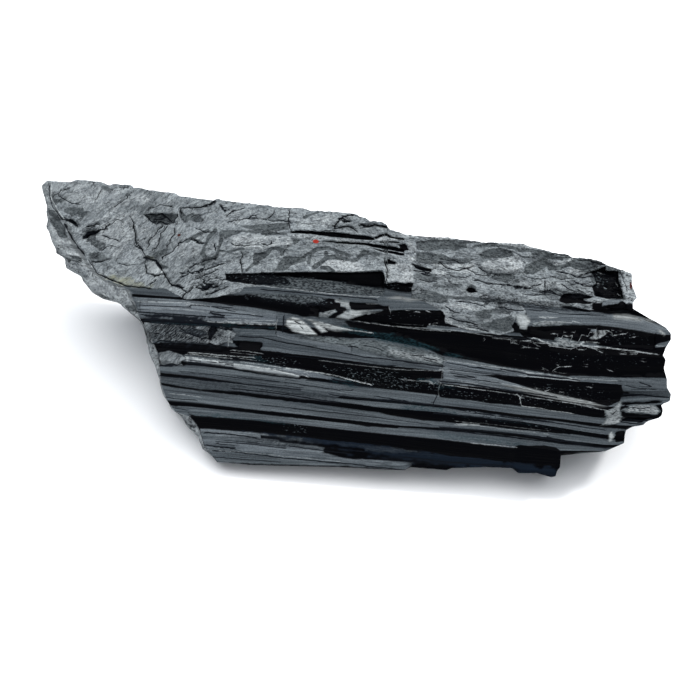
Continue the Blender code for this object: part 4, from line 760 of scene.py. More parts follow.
def facets(col, row, size, seed):
    # slanted faces scattered over the broken face, the highest at each place
    rng = np.random.default_rng(seed)
    best = np.full(np.shape(col), -9.0)
    for _ in range(stone["facetCount"]):
        cx = rng.uniform(30.0, 680.0)
        cy = rng.uniform(170.0, 320.0)
        tx = rng.uniform(-1.0, 1.0)
        ty = rng.uniform(-1.0, 1.0)
        far = np.hypot((col - cx) / 2.2, row - cy) / size
        best = np.maximum(best, 1.0 - far + 0.25 * (tx * (col - cx) / 2.2 + ty * (row - cy)) / size)
    return best


def ellipse(col, row, cx, cy, rx, ry, turn):
    c = math.cos(math.radians(turn))
    s = math.sin(math.radians(turn))
    u = ((col - cx) * c + (row - cy) * s) / rx
    v = (-(col - cx) * s + (row - cy) * c) / ry
    return np.hypot(u, v)


def stretchDistance(col, row, start, end):
    # distance to one straight stretch of a line, and the side of it
    (ax, ay), (bx, by) = start, end
    dx = bx - ax
    dy = by - ay
    t = np.clip(((col - ax) * dx + (row - ay) * dy) / (dx * dx + dy * dy), 0.0, 1.0)
    return np.hypot(col - ax - t * dx, row - ay - t * dy), np.sign(dx * (row - ay) - dy * (col - ax) + 1e-9)


def lineDistance(col, row, points):
    best = np.full(np.shape(col), 1e9)
    for start, end in zip(points, points[1:]):
        best = np.minimum(best, stretchDistance(col, row, start, end)[0])
    return best


def insidePlate(col, row, outline, edge):
    # 1 inside the outline, falling to 0 across its edge
    inside = np.zeros(np.shape(col), dtype=bool)
    for (ax, ay), (bx, by) in zip(outline, outline[1:] + outline[:1]):
        if ay == by:
            continue
        span = (row > min(ay, by)) & (row <= max(ay, by))
        inside ^= span & (col < ax + (row - ay) * (bx - ax) / (by - ay))
    far = lineDistance(col, row, outline + outline[:1])
    return smooth(0.5 + np.where(inside, far, -far) / (2.0 * edge))


def heightOf(row):
    return (layout["originRow"] - row) * layout["unitMm"]


def rimColumn(rim, row):
    return np.interp(row, [float(p[1]) for p in rim], [float(p[0]) for p in rim])


fine = np.linspace(30.0, 690.0, 1321)       # columns at which the long lines are read


def crossing(line, rim, outward):
    # column where a long line meets the rim of the left end, or of the right end when outward
    gap = fine - rimColumn(rim, line)
    order = np.arange(len(fine))
    if outward:
        order = order[::-1]
    signs = gap[order]
    hits = np.nonzero(signs[:-1] * signs[1:] <= 0.0)[0]
    if outward:
        hits = hits[fine[order[hits]] > 500.0]
    i = hits[0]
    share = signs[i] / (signs[i] - signs[i + 1])
    return float(fine[order[i]] + share * (fine[order[i + 1]] - fine[order[i]]))


def spread(left, right, count, midLeft=330.0, midRight=540.0):
    # columns from end to end, fixed in the middle and stretched toward both ends
    base = 60.0 + 600.0 * np.linspace(0.0, 1.0, count)
    out = base.copy()
    low = base < midLeft
    high = base > midRight
    out[low] = left + (base[low] - 60.0) * (midLeft - left) / (midLeft - 60.0)
    out[high] = midRight + (base[high] - midRight) * (right - midRight) / (660.0 - midRight)
    return out


def levelOut(high, total):
    # depth at which a height lies level with the underside, allowing for the perspective
    middle = heightOf(layout["sightAt"][1])
    return (total - high) / (1.0 - (high - middle) / layout["sightMm"])


def toWorld(mm, high, out):
    # place in mm of a point of the leaning sheet: along it, up it and out from it
    across = (layout["sightAt"][0] - layout["originColumn"]) * layout["unitMm"]
    middle = heightOf(layout["sightAt"][1])
    mm = across + (mm - across) * (1.0 - out / layout["sightMm"])
    high = middle + (high - middle) * (1.0 - out / layout["sightMm"])
    turn = math.radians(layout["turnDeg"])
    lean = math.radians(layout["leanDeg"])
    x = mm * math.cos(turn) - high * math.sin(turn) * math.sin(lean) + out * math.sin(turn) * math.cos(lean)
    y = mm * math.sin(turn) + high * math.cos(turn) * math.sin(lean) - out * math.cos(turn) * math.cos(lean)
    z = high * math.cos(lean) + out * math.sin(lean)
    return np.stack([x, y, z], axis=-1)


def evened(level, reach=20):
    # moving average
    padded = np.pad(level, reach, mode="edge")
    total = np.cumsum(np.insert(padded, 0, 0.0))
    span = 2 * reach + 1
    return (total[span:] - total[:-span]) / span


def keyRows():
    # crease lines and their levels on the fine columns
    lines = [along(knots, fine) for _, knots, _ in creases]
    lip = along(creases[-1][1], fine)
    edge = along(topEdge, fine)
    for share in upperShares:
        lines.append(lip + share * (edge - lip) + 1.2 * wave(fine / 17.0, int(share * 100)))
    lines.append(edge + 0.7 * np.abs(wave(fine / 4.5, 8)) + 0.5 * np.abs(wave(fine / 2.3, 12)))
    lines = np.array(lines)
    for j in range(1, len(lines)):
        lines[j] = np.minimum(lines[j], lines[j - 1] - 0.7)
    levels = [np.zeros_like(fine)]
    tilts = [np.zeros_like(fine)]
    for j in range(1, len(lines)):
        tilt = along(creases[j][2] if j < len(creases) else upperTilt, fine)
        levels.append(levels[-1] + tilt * (lines[j - 1] - lines[j]) * layout["unitMm"])
        tilts.append(tilt)
    return lines, np.array([levels[0]] + [evened(level) for level in levels[1:]]), np.array(tilts)


def frontGrid():
    lines, levels, tilts = keyRows()
    cols = []
    rows = []
    depth = []
    tilt = []
    flute = []
    straight = []       # the row with the drop of the flutes taken out, for the grain of the surface
    rng = np.random.default_rng(seeds["striation"])
    broken = len(creases) - 1
    index = 0
    for j in range(len(lines)):
        if j == 0:
            steps = [(0, 0.0)]
        else:
            width = float(np.mean(lines[j - 1] - lines[j]))
            count = int(np.clip(round(width / stone["fluteStep"]), 2, 7))
            if j > broken:
                count = stone["upperRows"]
            steps = [(j, (k + 1.0) / count) for k in range(count)]
        curl = rng.uniform(-0.06, 0.12)
        for strip, t in steps:
            below = max(strip - 1, 0)
            line = (1 - t) * lines[below] + t * lines[strip]
            level = (1 - t) * levels[below] + t * levels[strip]
            wide = (lines[below] - lines[strip]) * layout["unitMm"]
            if strip <= broken:
                level = level + curl * 4 * t * (1 - t) * np.minimum(wide, 1.6)
                amount = stone["striationMm"] * rng.uniform(0.2, 1.0) * rng.choice([-1.0, 1.0])
                swing = 0.65 + 0.35 * wave(fine / 45.0, 200 + index)
                level = level + amount * swing * min(1.0, 5 * t * (1 - t) + 0.3)
            left = crossing(line, leftRim, False)
            right = crossing(line, rightRim, True)
            col = spread(left, right, stone["columns"])
            cols.append(col)
            rows.append(np.interp(col, fine, line))
            depth.append(np.interp(col, fine, level))
            tilt.append(np.interp(col, fine, tilts[strip]))
            flute.append(strip + t - 1.0)
            straight.append(float(np.interp(350.0, fine, line)))
            index += 1
    cols = np.array(cols)
    rows = np.array(rows)
    depth = np.array(depth) + layout["axisDrop"] * (cols - layout["originColumn"]) * layout["unitMm"]
    return cols, rows, depth, np.array(tilt), np.array(flute), np.array(straight), broken


# How the lay of the broken face slopes, by column: rows dropped per column
laySlope = [(40, -0.45), (120, -0.55), (160, -0.95), (205, -0.55), (250, -0.2), (300, 0), (380, 0.1),
            (650, 0.16)]
layDrop = np.cumsum(along(laySlope, fine)) * (fine[1] - fine[0])
# How strong the dark ribbons are, by column
ribbonReach = [(40, 0.4), (125, 0.45), (145, 0.2), (400, 0.2), (425, 0.35), (560, 0.35), (590, 0.8)]


def layRow(cols, rows):
    # row measured across the lay of the broken face
    return rows - np.interp(cols, fine, layDrop)


def ribbons(cols, rows):
    # soft dark ribbons winding between the paler crusts
    u = cols / 30.0
    v = layRow(cols, rows) / 12.5
    u2 = u + 0.45 * noise(u * 1.6, v * 1.5, 61)
    v2 = v + 0.45 * noise(u * 1.6, v * 1.5, 62)
    field = np.abs(layered(u2, v2, seeds["plate"], 3))
    wide = 0.13 + 0.14 * noise(u * 0.6, v * 0.55, 63)
    reach = along(ribbonReach, cols)
    return reach * (1.0 - smooth((field - wide) / 0.07))


def brokenRelief(cols, rows, fade):
    # relief of the broken upper face, in mm
    shape = facets(cols, rows, stone["facetSize"], 5)
    relief = stone["roughMm"] * 2.0 * (shape - 0.55)
    u = cols / 40.0
    v = layRow(cols, rows) / 13.0
    field = layered(u, v, seeds["plate"] + 20, 3)
    steps = np.floor(field * 3.2) + smooth((field * 3.2 - np.floor(field * 3.2)) * 5.0)
    relief = relief + stone["plateMm"] * 0.30 * (steps - field * 3.2)
    relief = relief + stone["grainMm"] * layered(cols / 7.0, layRow(cols, rows) / 3.6, seeds["grain"], 3)
    relief = relief - stone["ribbonMm"] * ribbons(cols, rows)
    return relief * fade


def ragged(cols, rows, reach):
    # small sideways wander that keeps drawn edges from looking ruled
    return reach * (layered(cols / 8.0, rows / 5.0, 19, 2) + 0.5 * noise(cols / 2.6, rows / 2.0, 29))


def buildFront():
    cols, rows, depth, tilt, flute, straight, broken = frontGrid()
    fade = smooth((flute[:, None] - broken + 0.4) / 1.6) + np.zeros_like(cols)
    extra = np.zeros_like(cols)
    for _, edge, amounts, outline in plates:
        if "fracture" in amounts:
            extra = np.maximum(extra, insidePlate(cols, rows, outline, 3.0) * amounts["fracture"])
    depth = depth + brokenRelief(cols, rows, np.maximum(fade, 0.45 * extra))
    for cx, cy, rx, ry, rise, turn in upperForms:
        depth += rise * smooth(1.6 * (1.25 - ellipse(cols, rows, cx, cy, rx, ry, turn)))
    side = ragged(cols, rows, 0.9)
    for rise, edge, _, outline in plates:
        if rise:
            depth += rise * insidePlate(cols + side, rows + 0.4 * side, outline, edge + 0.4)
    for rise, width, _, points in strokes:
        if rise:
            away = lineDistance(cols + 0.3 * side, rows + 0.2 * side, points)
            depth += rise * smooth(1.4 - away / width)
    bend = ragged(cols, rows, 1.1) * (0.22 + 0.78 * np.maximum(fade, extra))
    dark = lineField(cracks, cols + bend, rows + bend)
    depth -= dark[2] * np.clip(1.3 - np.abs(dark[0]) * 0.5, 0.0, 1.0)
    pale = lineField(threads, cols + bend, rows + bend)
    return cols, rows, depth, tilt, flute, straight, broken, dark, pale


def lineField(groups, cols, rows):
    # for the nearest line: distance over half width (negative on one side), plain distance, and amount
    best = np.full(cols.shape, 9.0)
    side = np.ones(cols.shape)
    far = np.full(cols.shape, 99.0)
    value = np.zeros(cols.shape)
    for width, amount, points in [(w, a, line) for w, a, lines in groups for line in lines]:
        across = [p[0] for p in points]
        down = [p[1] for p in points]
        reach = 6.0 * width + 3.0
        near = (cols > min(across) - reach) & (cols < max(across) + reach)
        near = np.nonzero(near & (rows > min(down) - reach) & (rows < max(down) + reach))
        c = cols[near]
        r = rows[near]
        for start, end in zip(points, points[1:]):
            away, hand = stretchDistance(c, r, start, end)
            closer = away / (0.5 * width) < best[near]
            best[near] = np.where(closer, away / (0.5 * width), best[near])
            far[near] = np.where(closer, away, far[near])
            value[near] = np.where(closer, amount, value[near])
            side[near] = np.where(closer, hand, side[near])
    return side * np.minimum(best, 6.0), far, value


# Kinds that hide what lies under them, and kinds that only tint it
covers = ("black", "frost", "white", "satinAndSheen", "fracture", "rust", "ember")
tints = {"dark", "light", "shade"}


def paint(cols, rows, tilt, fracture, dark=(6.0, 99.0), pale=(6.0, 99.0, 0.0)):
    # per point amounts that drive the material
    # flutes that face up get the satin finish with a painted sheen, and flutes that face down stay black
    values = {"satinAndSheen": smooth((0.12 - tilt) / 0.42), "fracture": fracture + 0.0 * cols}
    for kind in ("black", "frost", "white", "teal", "navy", "rust", "ember", "moss", "light", "speck",
                 "shade", "veined", "ribbed"):
        values[kind] = np.zeros_like(cols)
    values["crackSide"] = dark[0] + 0.0 * cols
    values["crackNear"] = np.clip(2.4 - dark[1], 0.0, 1.0) + 0.0 * cols
    values["threadSide"] = pale[0] + 0.0 * cols
    values["threadNear"] = np.clip(2.4 - pale[1], 0.0, 1.0) * pale[2] + 0.0 * cols
    values["dark"] = ribbons(cols, rows)
    side = ragged(cols, rows, 0.9)

    def cover(inside, amounts):
        # lays one piece over what is already painted
        if set(amounts) <= tints:
            values["dark"] = values["dark"] * (1.0 - inside)
            values["light"] = values["light"] * (1.0 - inside)
        else:
            for kind in covers:
                values[kind] = values[kind] * (1.0 - inside)
        if "light" in amounts or "white" in amounts:
            values["dark"] = values["dark"] * (1.0 - inside)
        for kind, strength in amounts.items():
            values[kind] = np.maximum(values[kind], strength * inside)

    for _, edge, amounts, outline in plates:
        cover(insidePlate(cols + side, rows + 0.4 * side, outline, 1.5 * edge), amounts)
    for _, width, amounts, points in strokes:
        if set(amounts) <= tints:
            width = width * (1.0 + 0.5 * noise(cols / 7.0, rows / 5.0, 88))
        cover(smooth(1.45 - lineDistance(cols + 0.4 * side, rows + 0.3 * side, points) / width), amounts)
    soft = 0.4 * layered(cols / 9.0, layRow(cols, rows) / 4.0, 77, 3)
    for kind, cx, cy, rx, ry, turn, strength in [(kind, *area) for kind, areas in marks for area in areas]:
        away = ellipse(cols, rows, cx, cy, rx, ry, turn)
        inside = smooth((1.15 - away + soft) / 0.45)
        if kind in ("rust", "ember"):
            inside = np.clip(1.5 - away, 0.0, 1.0)      # a slope that the material cuts to a round dot
        if kind == "light":
            values["dark"] = values["dark"] * (1.0 - inside * strength)
        values[kind] = np.maximum(values[kind], strength * inside)
    return values


def backGrid(frontCols, frontDepth):
    count = stone["backRows"]
    floorRows = stone["undersideRows"]
    foot = along(creases[0][1], fine) - 1.0
    edge = along(topEdge, fine) + 1.0
    flat = evened(edge, stone["backEven"])
    outerLine = np.interp(fine, frontCols[-1], frontDepth[-1])
    outerFlat = evened(outerLine, stone["backEven"])
    bend = along(corner, fine)
    cols = []
    rows = []
    depth = []
    for m in range(count):
        share = min(1.0, m / floorRows)
        rise = max(0.0, (m - floorRows) / (count - 1.0 - floorRows))
        if m <= floorRows:
            line = (1 - share) * foot + share * bend
        else:
            line = (1 - rise) * bend + rise * flat + rise ** 6 * (edge - flat)
        left = crossing(line, leftRim, False)
        right = crossing(line, rightDeep, True)
        col = spread(left, right, stone["columns"])
        row = np.interp(col, fine, line)
        high = heightOf(row)
        if m <= floorRows:
            out = levelOut(high, layout["floorSumMm"])
        else:
            inner = levelOut(heightOf(along(corner, col)), layout["floorSumMm"])
            outer = np.interp(col, fine, outerFlat + rise ** 6 * (outerLine - outerFlat))
            outer = outer - stone["topWallMm"]
            swell = -stone["backBulgeMm"] * max(0.0, math.sin(math.pi * rise)) ** 0.8
            ribs = stone["backRibs"]
            place = rise * stone["backRibCount"]
            k = int(place)
            part = place - k
            rib = ribs[k % len(ribs)] * (1 - part) + ribs[(k + 1) % len(ribs)] * part
            sway = 1.0 + 0.35 * wave(col / 60.0, 46 + k)
            ridges = 0.05 * wave(col / 30.0, 500 + m) + 0.14 * wave(np.full_like(col, m * 1.7), 90)
            ridges = ridges + 0.1 * layered(col / 40.0, np.full_like(col, m / 3.0), 61, 3)
            out = (1 - rise) * inner + rise * outer + swell
            out = out + stone["backFluteMm"] * rib * min(1.0, 4.0 * (1.0 - rise)) * sway
            out = out + ridges * min(1.0, 5 * rise * (1 - rise))
        cols.append(col)
        rows.append(row)
        depth.append(out)
    return np.array(cols), np.array(rows), np.array(depth)


def bites(row, share, big, small):
    # chipped edge of an end; each is (size, length, change through the thickness, seed)
    middle = np.sin(math.pi * share)
    size, length, slide, seed = big
    chip = np.maximum(size * wave(row / length + slide * share, seed) * middle, 0.0)
    size, length, pitch, seed = small
    return chip + size * np.abs(layered(row / length, share * pitch + 0 * row, seed, 3)) * middle


def leftColumn(row, share):
    push = np.interp(share, [0.0, 0.14, 0.4, 0.7, 1.0], [0.0, 0.8, 1.0, 0.75, 0.0])
    rim = rimColumn(leftRim, row)
    chip = bites(row, share, (3.5, 21.0, 3.0, 31), (1.6, 11.0, 6.0, 35))
    return rim - push * (rim - rimColumn(leftReach, row)) + chip


def rightColumn(row, share):
    rim = rimColumn(rightRim, row)
    chip = bites(row, share, (7.0, 14.0, 5.0, 32), (2.4, 5.0, 9.0, 38))
    return rim - share ** 0.8 * (rim - rimColumn(rightDeep, row)) - chip


def layFor(col, row, deep, cap):
    # where the texture of the broken face is read; on the left end it runs down along the break
    if cap < 0:
        return np.stack([0.6 * col + 0.8 * row, 0.8 * col - 0.6 * row + 0.25 * deep, 0.1 * deep], axis=-1)
    if cap > 0:
        return np.stack([0.5 * deep + col, row + 0.2 * deep, 0.3 * deep], axis=-1)
    return np.stack([col, layRow(col, row), deep], axis=-1)


def buildStone():
    unit = layout["unitMm"]
    cols, rows, front, tilt, flute, straight, broken, darkLines, paleLines = buildFront()
    count, width = cols.shape
    backCols, backLines, back = backGrid(cols, front)
    backCount = len(backCols)
    points = []
    painted = []
    grains = []

    def addGrid(col, row, out, values, level, deep, cap=0):
        first = sum(len(p) for p in points)
        mm = (col - layout["originColumn"]) * unit
        points.append(toWorld(mm, heightOf(row), out).reshape(-1, 3))
        painted.append({k: np.broadcast_to(v, col.shape).reshape(-1) for k, v in values.items()})
        deep = deep + 0.0 * col
        grains.append({"grain": np.stack([col, level + 0.0 * col, deep], axis=-1).reshape(-1, 3) / 100.0,
                       "lay": layFor(col, row, deep, cap).reshape(-1, 3) / 100.0})
        return np.arange(first, first + col.size).reshape(col.shape)

    fade = smooth((flute[:, None] - broken + 0.5) / 0.9) + np.zeros_like(cols)
    frontPaint = paint(cols, rows, tilt, fade, darkLines, paleLines)
    near = addGrid(cols, rows, front, frontPaint, straight[:, None], 0.0)
    zero = np.zeros_like(backCols)
    rise = np.gradient(back, axis=0) / np.minimum(np.gradient(backLines, axis=0), -0.2) / -unit
    reach = stone["backTiltEven"]
    padded = np.pad(rise, ((0, 0), (reach, reach)), mode="edge")
    rise = np.mean([padded[:, k:k + width] for k in range(2 * reach + 1)], axis=0)
    lean = 1.1 * (rise.mean() - rise) - 0.04        # faces that look up get the satin finish with its painted sheen, as on the front
    backPaint = paint(backCols - stone["backShift"], backLines, lean, zero)
    backPaint["ribbed"] = zero + 1.0
    backPaint["fracture"] = smooth(2.6 * layered(backCols / 130.0, backLines / 11.0, 15, 2) - 0.95)
    backPaint["veined"] = zero + 0.5
    far = addGrid(backCols, backLines, back, backPaint, 4.0 * np.arange(backCount)[:, None], 400.0)

    # ends: a sheet of points from the front rim to the back rim
    shares = (np.arange(1, stone["capColumns"] + 1)) / (stone["capColumns"] + 1.0)
    shares = shares ** stone["capBunch"]
    match = np.linspace(0.0, backCount - 1.0, count)
    ends = []
    for side, column, isLeft in ((0, leftColumn, True), (-1, rightColumn, False)):
        nearRow = rows[:, side]
        nearOut = front[:, side]
        farRow = np.interp(match, np.arange(backCount), backLines[:, side])
        farOut = np.interp(match, np.arange(backCount), back[:, side])
        row = nearRow[:, None] + shares[None, :] * (farRow - nearRow)[:, None]
        out = nearOut[:, None] + shares[None, :] * (farOut - nearOut)[:, None]
        col = column(row, shares[None, :] + 0 * row)
        nearCracks = lineField(cracks, col, row)
        values = paint(col, row, 0 * col - 0.3, 0 * col + 1.0, nearCracks, lineField(threads, col, row))
        if not isLeft:
            grain = layered(row / 9.0, shares[None, :] * 3.5 + 0 * row, 44, 3)
            deepIn = smooth(3.0 * shares[None, :]) + 0 * row
            values["fracture"] = values["fracture"] * (1.0 - deepIn)
            values["fracture"] = np.maximum(values["fracture"], deepIn * smooth(1.25 + grain))
            values["dark"] = np.maximum(values["dark"], smooth(0.2 + 1.2 * grain))
            values["black"] = values["black"] * (1.0 - deepIn)
            values["veined"] = np.maximum(values["veined"], 0.8 * deepIn)
        else:
            pale = 0.45 + 0.35 * layered(row / 14.0, shares[None, :] * 3.0 + 0 * row, 47, 3)
            values["light"] = np.maximum(values["light"], pale)
            patchy = smooth(1.6 * layered(row / 9.0, shares[None, :] * 4.0 + 0 * row, 49, 3) - 0.3)
            values["dark"] = np.maximum(values["dark"], 0.8 * patchy * (1.0 - values["light"]))
            values["black"] = values["black"] * 0.0
        ends.append(addGrid(col, row, out, values, straight[:, None], (nearOut[:, None] - out) / unit,
                            -1 if isLeft else 1))
    left, right = ends

    # walls along the upper and lower edges
    walls = []
    wallShares = shares[::2]
    for j, m, tuck in ((-1, -1, 0.8), (0, 0, -0.8)):
        col = cols[j, 1:-1] + wallShares[:, None] * (backCols[m, 1:-1] - cols[j, 1:-1])
        row = rows[j, 1:-1] + wallShares[:, None] * (backLines[m, 1:-1] - rows[j, 1:-1]) + tuck
        out = front[j, 1:-1] + wallShares[:, None] * (back[m, 1:-1] - front[j, 1:-1])
        wander = np.abs(layered(col / 14.0, wallShares[:, None] * 4.0 + 0 * col, 81, 3))
        row = row + np.sign(tuck) * stone["wallRough"] * wander * np.sin(math.pi * wallShares)[:, None]
        values = paint(col - stone["backShift"], row, 0 * col + 0.1, 0 * col + (0.9 if j else 0.35))
        walls.append(addGrid(col, row, out, values, row, (front[j, 1:-1] - out) / unit))
    top, foot = walls

    faces = []

    def addStrip(a, c, d, e):
        faces.append(np.stack([a.ravel(), c.ravel(), d.ravel(), e.ravel()], axis=1))

    addStrip(near[:-1, :-1], near[:-1, 1:], near[1:, 1:], near[1:, :-1])
    addStrip(far[:-1, :-1], far[1:, :-1], far[1:, 1:], far[:-1, 1:])
    polygons = []
    for side, grid, flip in ((0, left, False), (-1, right, True)):
        whole = np.concatenate([near[:, side][:, None], grid], axis=1)
        quad = [whole[:-1, :-1], whole[:-1, 1:], whole[1:, 1:], whole[1:, :-1]]
        addStrip(*(quad if flip else quad[::-1]))
        last = whole[:, -1]
        for m in range(backCount - 1):
            lo = int(np.searchsorted(match, m))
            hi = min(int(np.searchsorted(match, m + 1)), count - 1)
            if m == backCount - 2:
                hi = count - 1
            chain = [int(v) for v in last[lo:hi + 1]]
            face = chain[::-1] + [int(far[m, side]), int(far[m + 1, side])]
            polygons.append(face if flip else face[::-1])

    def addWall(rowF, rowB, grid, capL, capR, flip):
        # the wall has every other cap column, so its end faces take five corners
        full = [list(rowF)]
        for k in range(grid.shape[0]):
            full.append([capL[2 * k]] + list(grid[k]) + [capR[2 * k]])
        full.append(list(rowB))
        for k in range(len(full) - 1):
            for i in range(width - 1):
                quad = [full[k][i], full[k][i + 1], full[k + 1][i + 1], full[k + 1][i]]
                middle = 2 * k - 1
                if i == 0 and 0 < middle < len(capL):
                    quad = quad + [capL[middle]]
                if i == width - 2 and 0 < middle < len(capR):
                    quad = quad[:2] + [capR[middle]] + quad[2:]
                quad = [int(v) for v in quad]
                polygons.append(quad if flip else quad[::-1])

    addWall(near[-1], far[-1], top, left[-1], right[-1], True)
    addWall(near[0], far[0], foot, left[0], right[0], False)
    allPoints = np.concatenate(points)
    allPaint = {k: np.concatenate([p[k] for p in painted]) for k in painted[0]}
    allGrain = {k: np.concatenate([g[k] for g in grains]) for k in grains[0]}
    allFaces = [[int(v) for v in face] for face in np.concatenate(faces)] + polygons
    return allPoints, allFaces, allPaint, allGrain


def settle(points):
    # stands the stone on its underside and fits it to the frame's box
    level = layout["floorSumMm"] * math.cos(math.radians(layout["leanDeg"]))
    points[:, 2] = np.maximum(points[:, 2], level) - level
    high = points.max(axis=0)
    low = points.min(axis=0)
    size = np.array(cadHigh) - np.array(cadLow)
    scale = size[0] / (high[0] - low[0])
    middle = np.array([(low[0] + high[0]) / 2.0, (low[1] + high[1]) / 2.0, 0.0])
    placed = (points - middle) * scale
    over = (placed.max(axis=0) - placed.min(axis=0)) / size
    print("size against the frame", [round(float(v), 4) for v in over])
    for axis in (1, 2):
        if over[axis] > 1.0:
            placed[:, axis] /= over[axis]
    return placed, middle, scale


points, faces, painted, grains = buildStone()
points, sheetMiddle, sheetScale = settle(points)
mesh = bpy.data.meshes.new("stone")
mesh.from_pydata([tuple(p) for p in points], [], faces)
for name, values in painted.items():
    layer = mesh.attributes.new(name, "FLOAT", "POINT")
    layer.data.foreach_set("value", values.astype(np.float32))
for name, values in grains.items():
    layer = mesh.attributes.new(name, "FLOAT_VECTOR", "POINT")
    layer.data.foreach_set("vector", values.astype(np.float32).ravel())
mesh.polygons.foreach_set("use_smooth", [True] * len(mesh.polygons))
mesh.validate()
mesh.update()
mesh.set_sharp_from_angle(angle=math.radians(stone["sharpDeg"]))
crystal = bpy.data.objects.new("stone", mesh)
bpy.context.scene.collection.objects.link(crystal)
triangles = sum(len(p.vertices) - 2 for p in mesh.polygons)
print("stone built", len(mesh.vertices), "points", triangles, "triangles")

surface = {
    "blackColor": (0.0006, 0.0007, 0.0012),
    # the next two: grey of the satin finish carrying the painted sheen of the flutes, and its brighter
    # painted sheen
    "satinSheenColor": (0.047, 0.056, 0.061),
    "brightSatinSheenColor": (0.090, 0.104, 0.112),
    "crustColor": (0.192, 0.212, 0.219),      # pale crust of the broken face
    "ribbonColor": (0.066, 0.075, 0.078),     # soft dark ribbons between the crusts
    "lightColor": (0.265, 0.285, 0.288),
    "frostLow": (0.018, 0.022, 0.024),
    "frostDim": (0.088, 0.102, 0.108),
    "frostHigh": (0.210, 0.225, 0.230),
    "whiteColor": (0.40, 0.425, 0.425),
    # dark of the cracks, also used for the painted shade
    "crackAndShadeColor": (0.004, 0.005, 0.007),
    "threadColor": (0.33, 0.355, 0.36),
    # pale specks: pale grains, and painted glints on the black flutes
    "speckColor": (0.072, 0.088, 0.096),
    "tealColor": (0.006, 0.019, 0.024),
    "navyColor": (0.005, 0.0085, 0.0145),
    "rustColor": (0.27, 0.030, 0.020),
    "emberColor": (0.040, 0.014, 0.012),
    "mossColor": (0.210, 0.213, 0.140),
    "blackRoughness": 0.28,
    "satinRoughness": 0.38,
    "brokenRoughness": 0.75,
    "frostRoughness": 0.6,
    "crackRoughness": 0.9,
    "specular": 0.02,
    "grooveMm": 0.10,         # depth of the finest grooves, as bump
    "grainMm": 0.40,          # depth of the grain of the broken face, as bump
    "bump": 0.75,
}


def setInputs(node, values):
    # fixed values of a node, by the names of its sockets
    for name, value in values.items():
        node.inputs[name].default_value = value


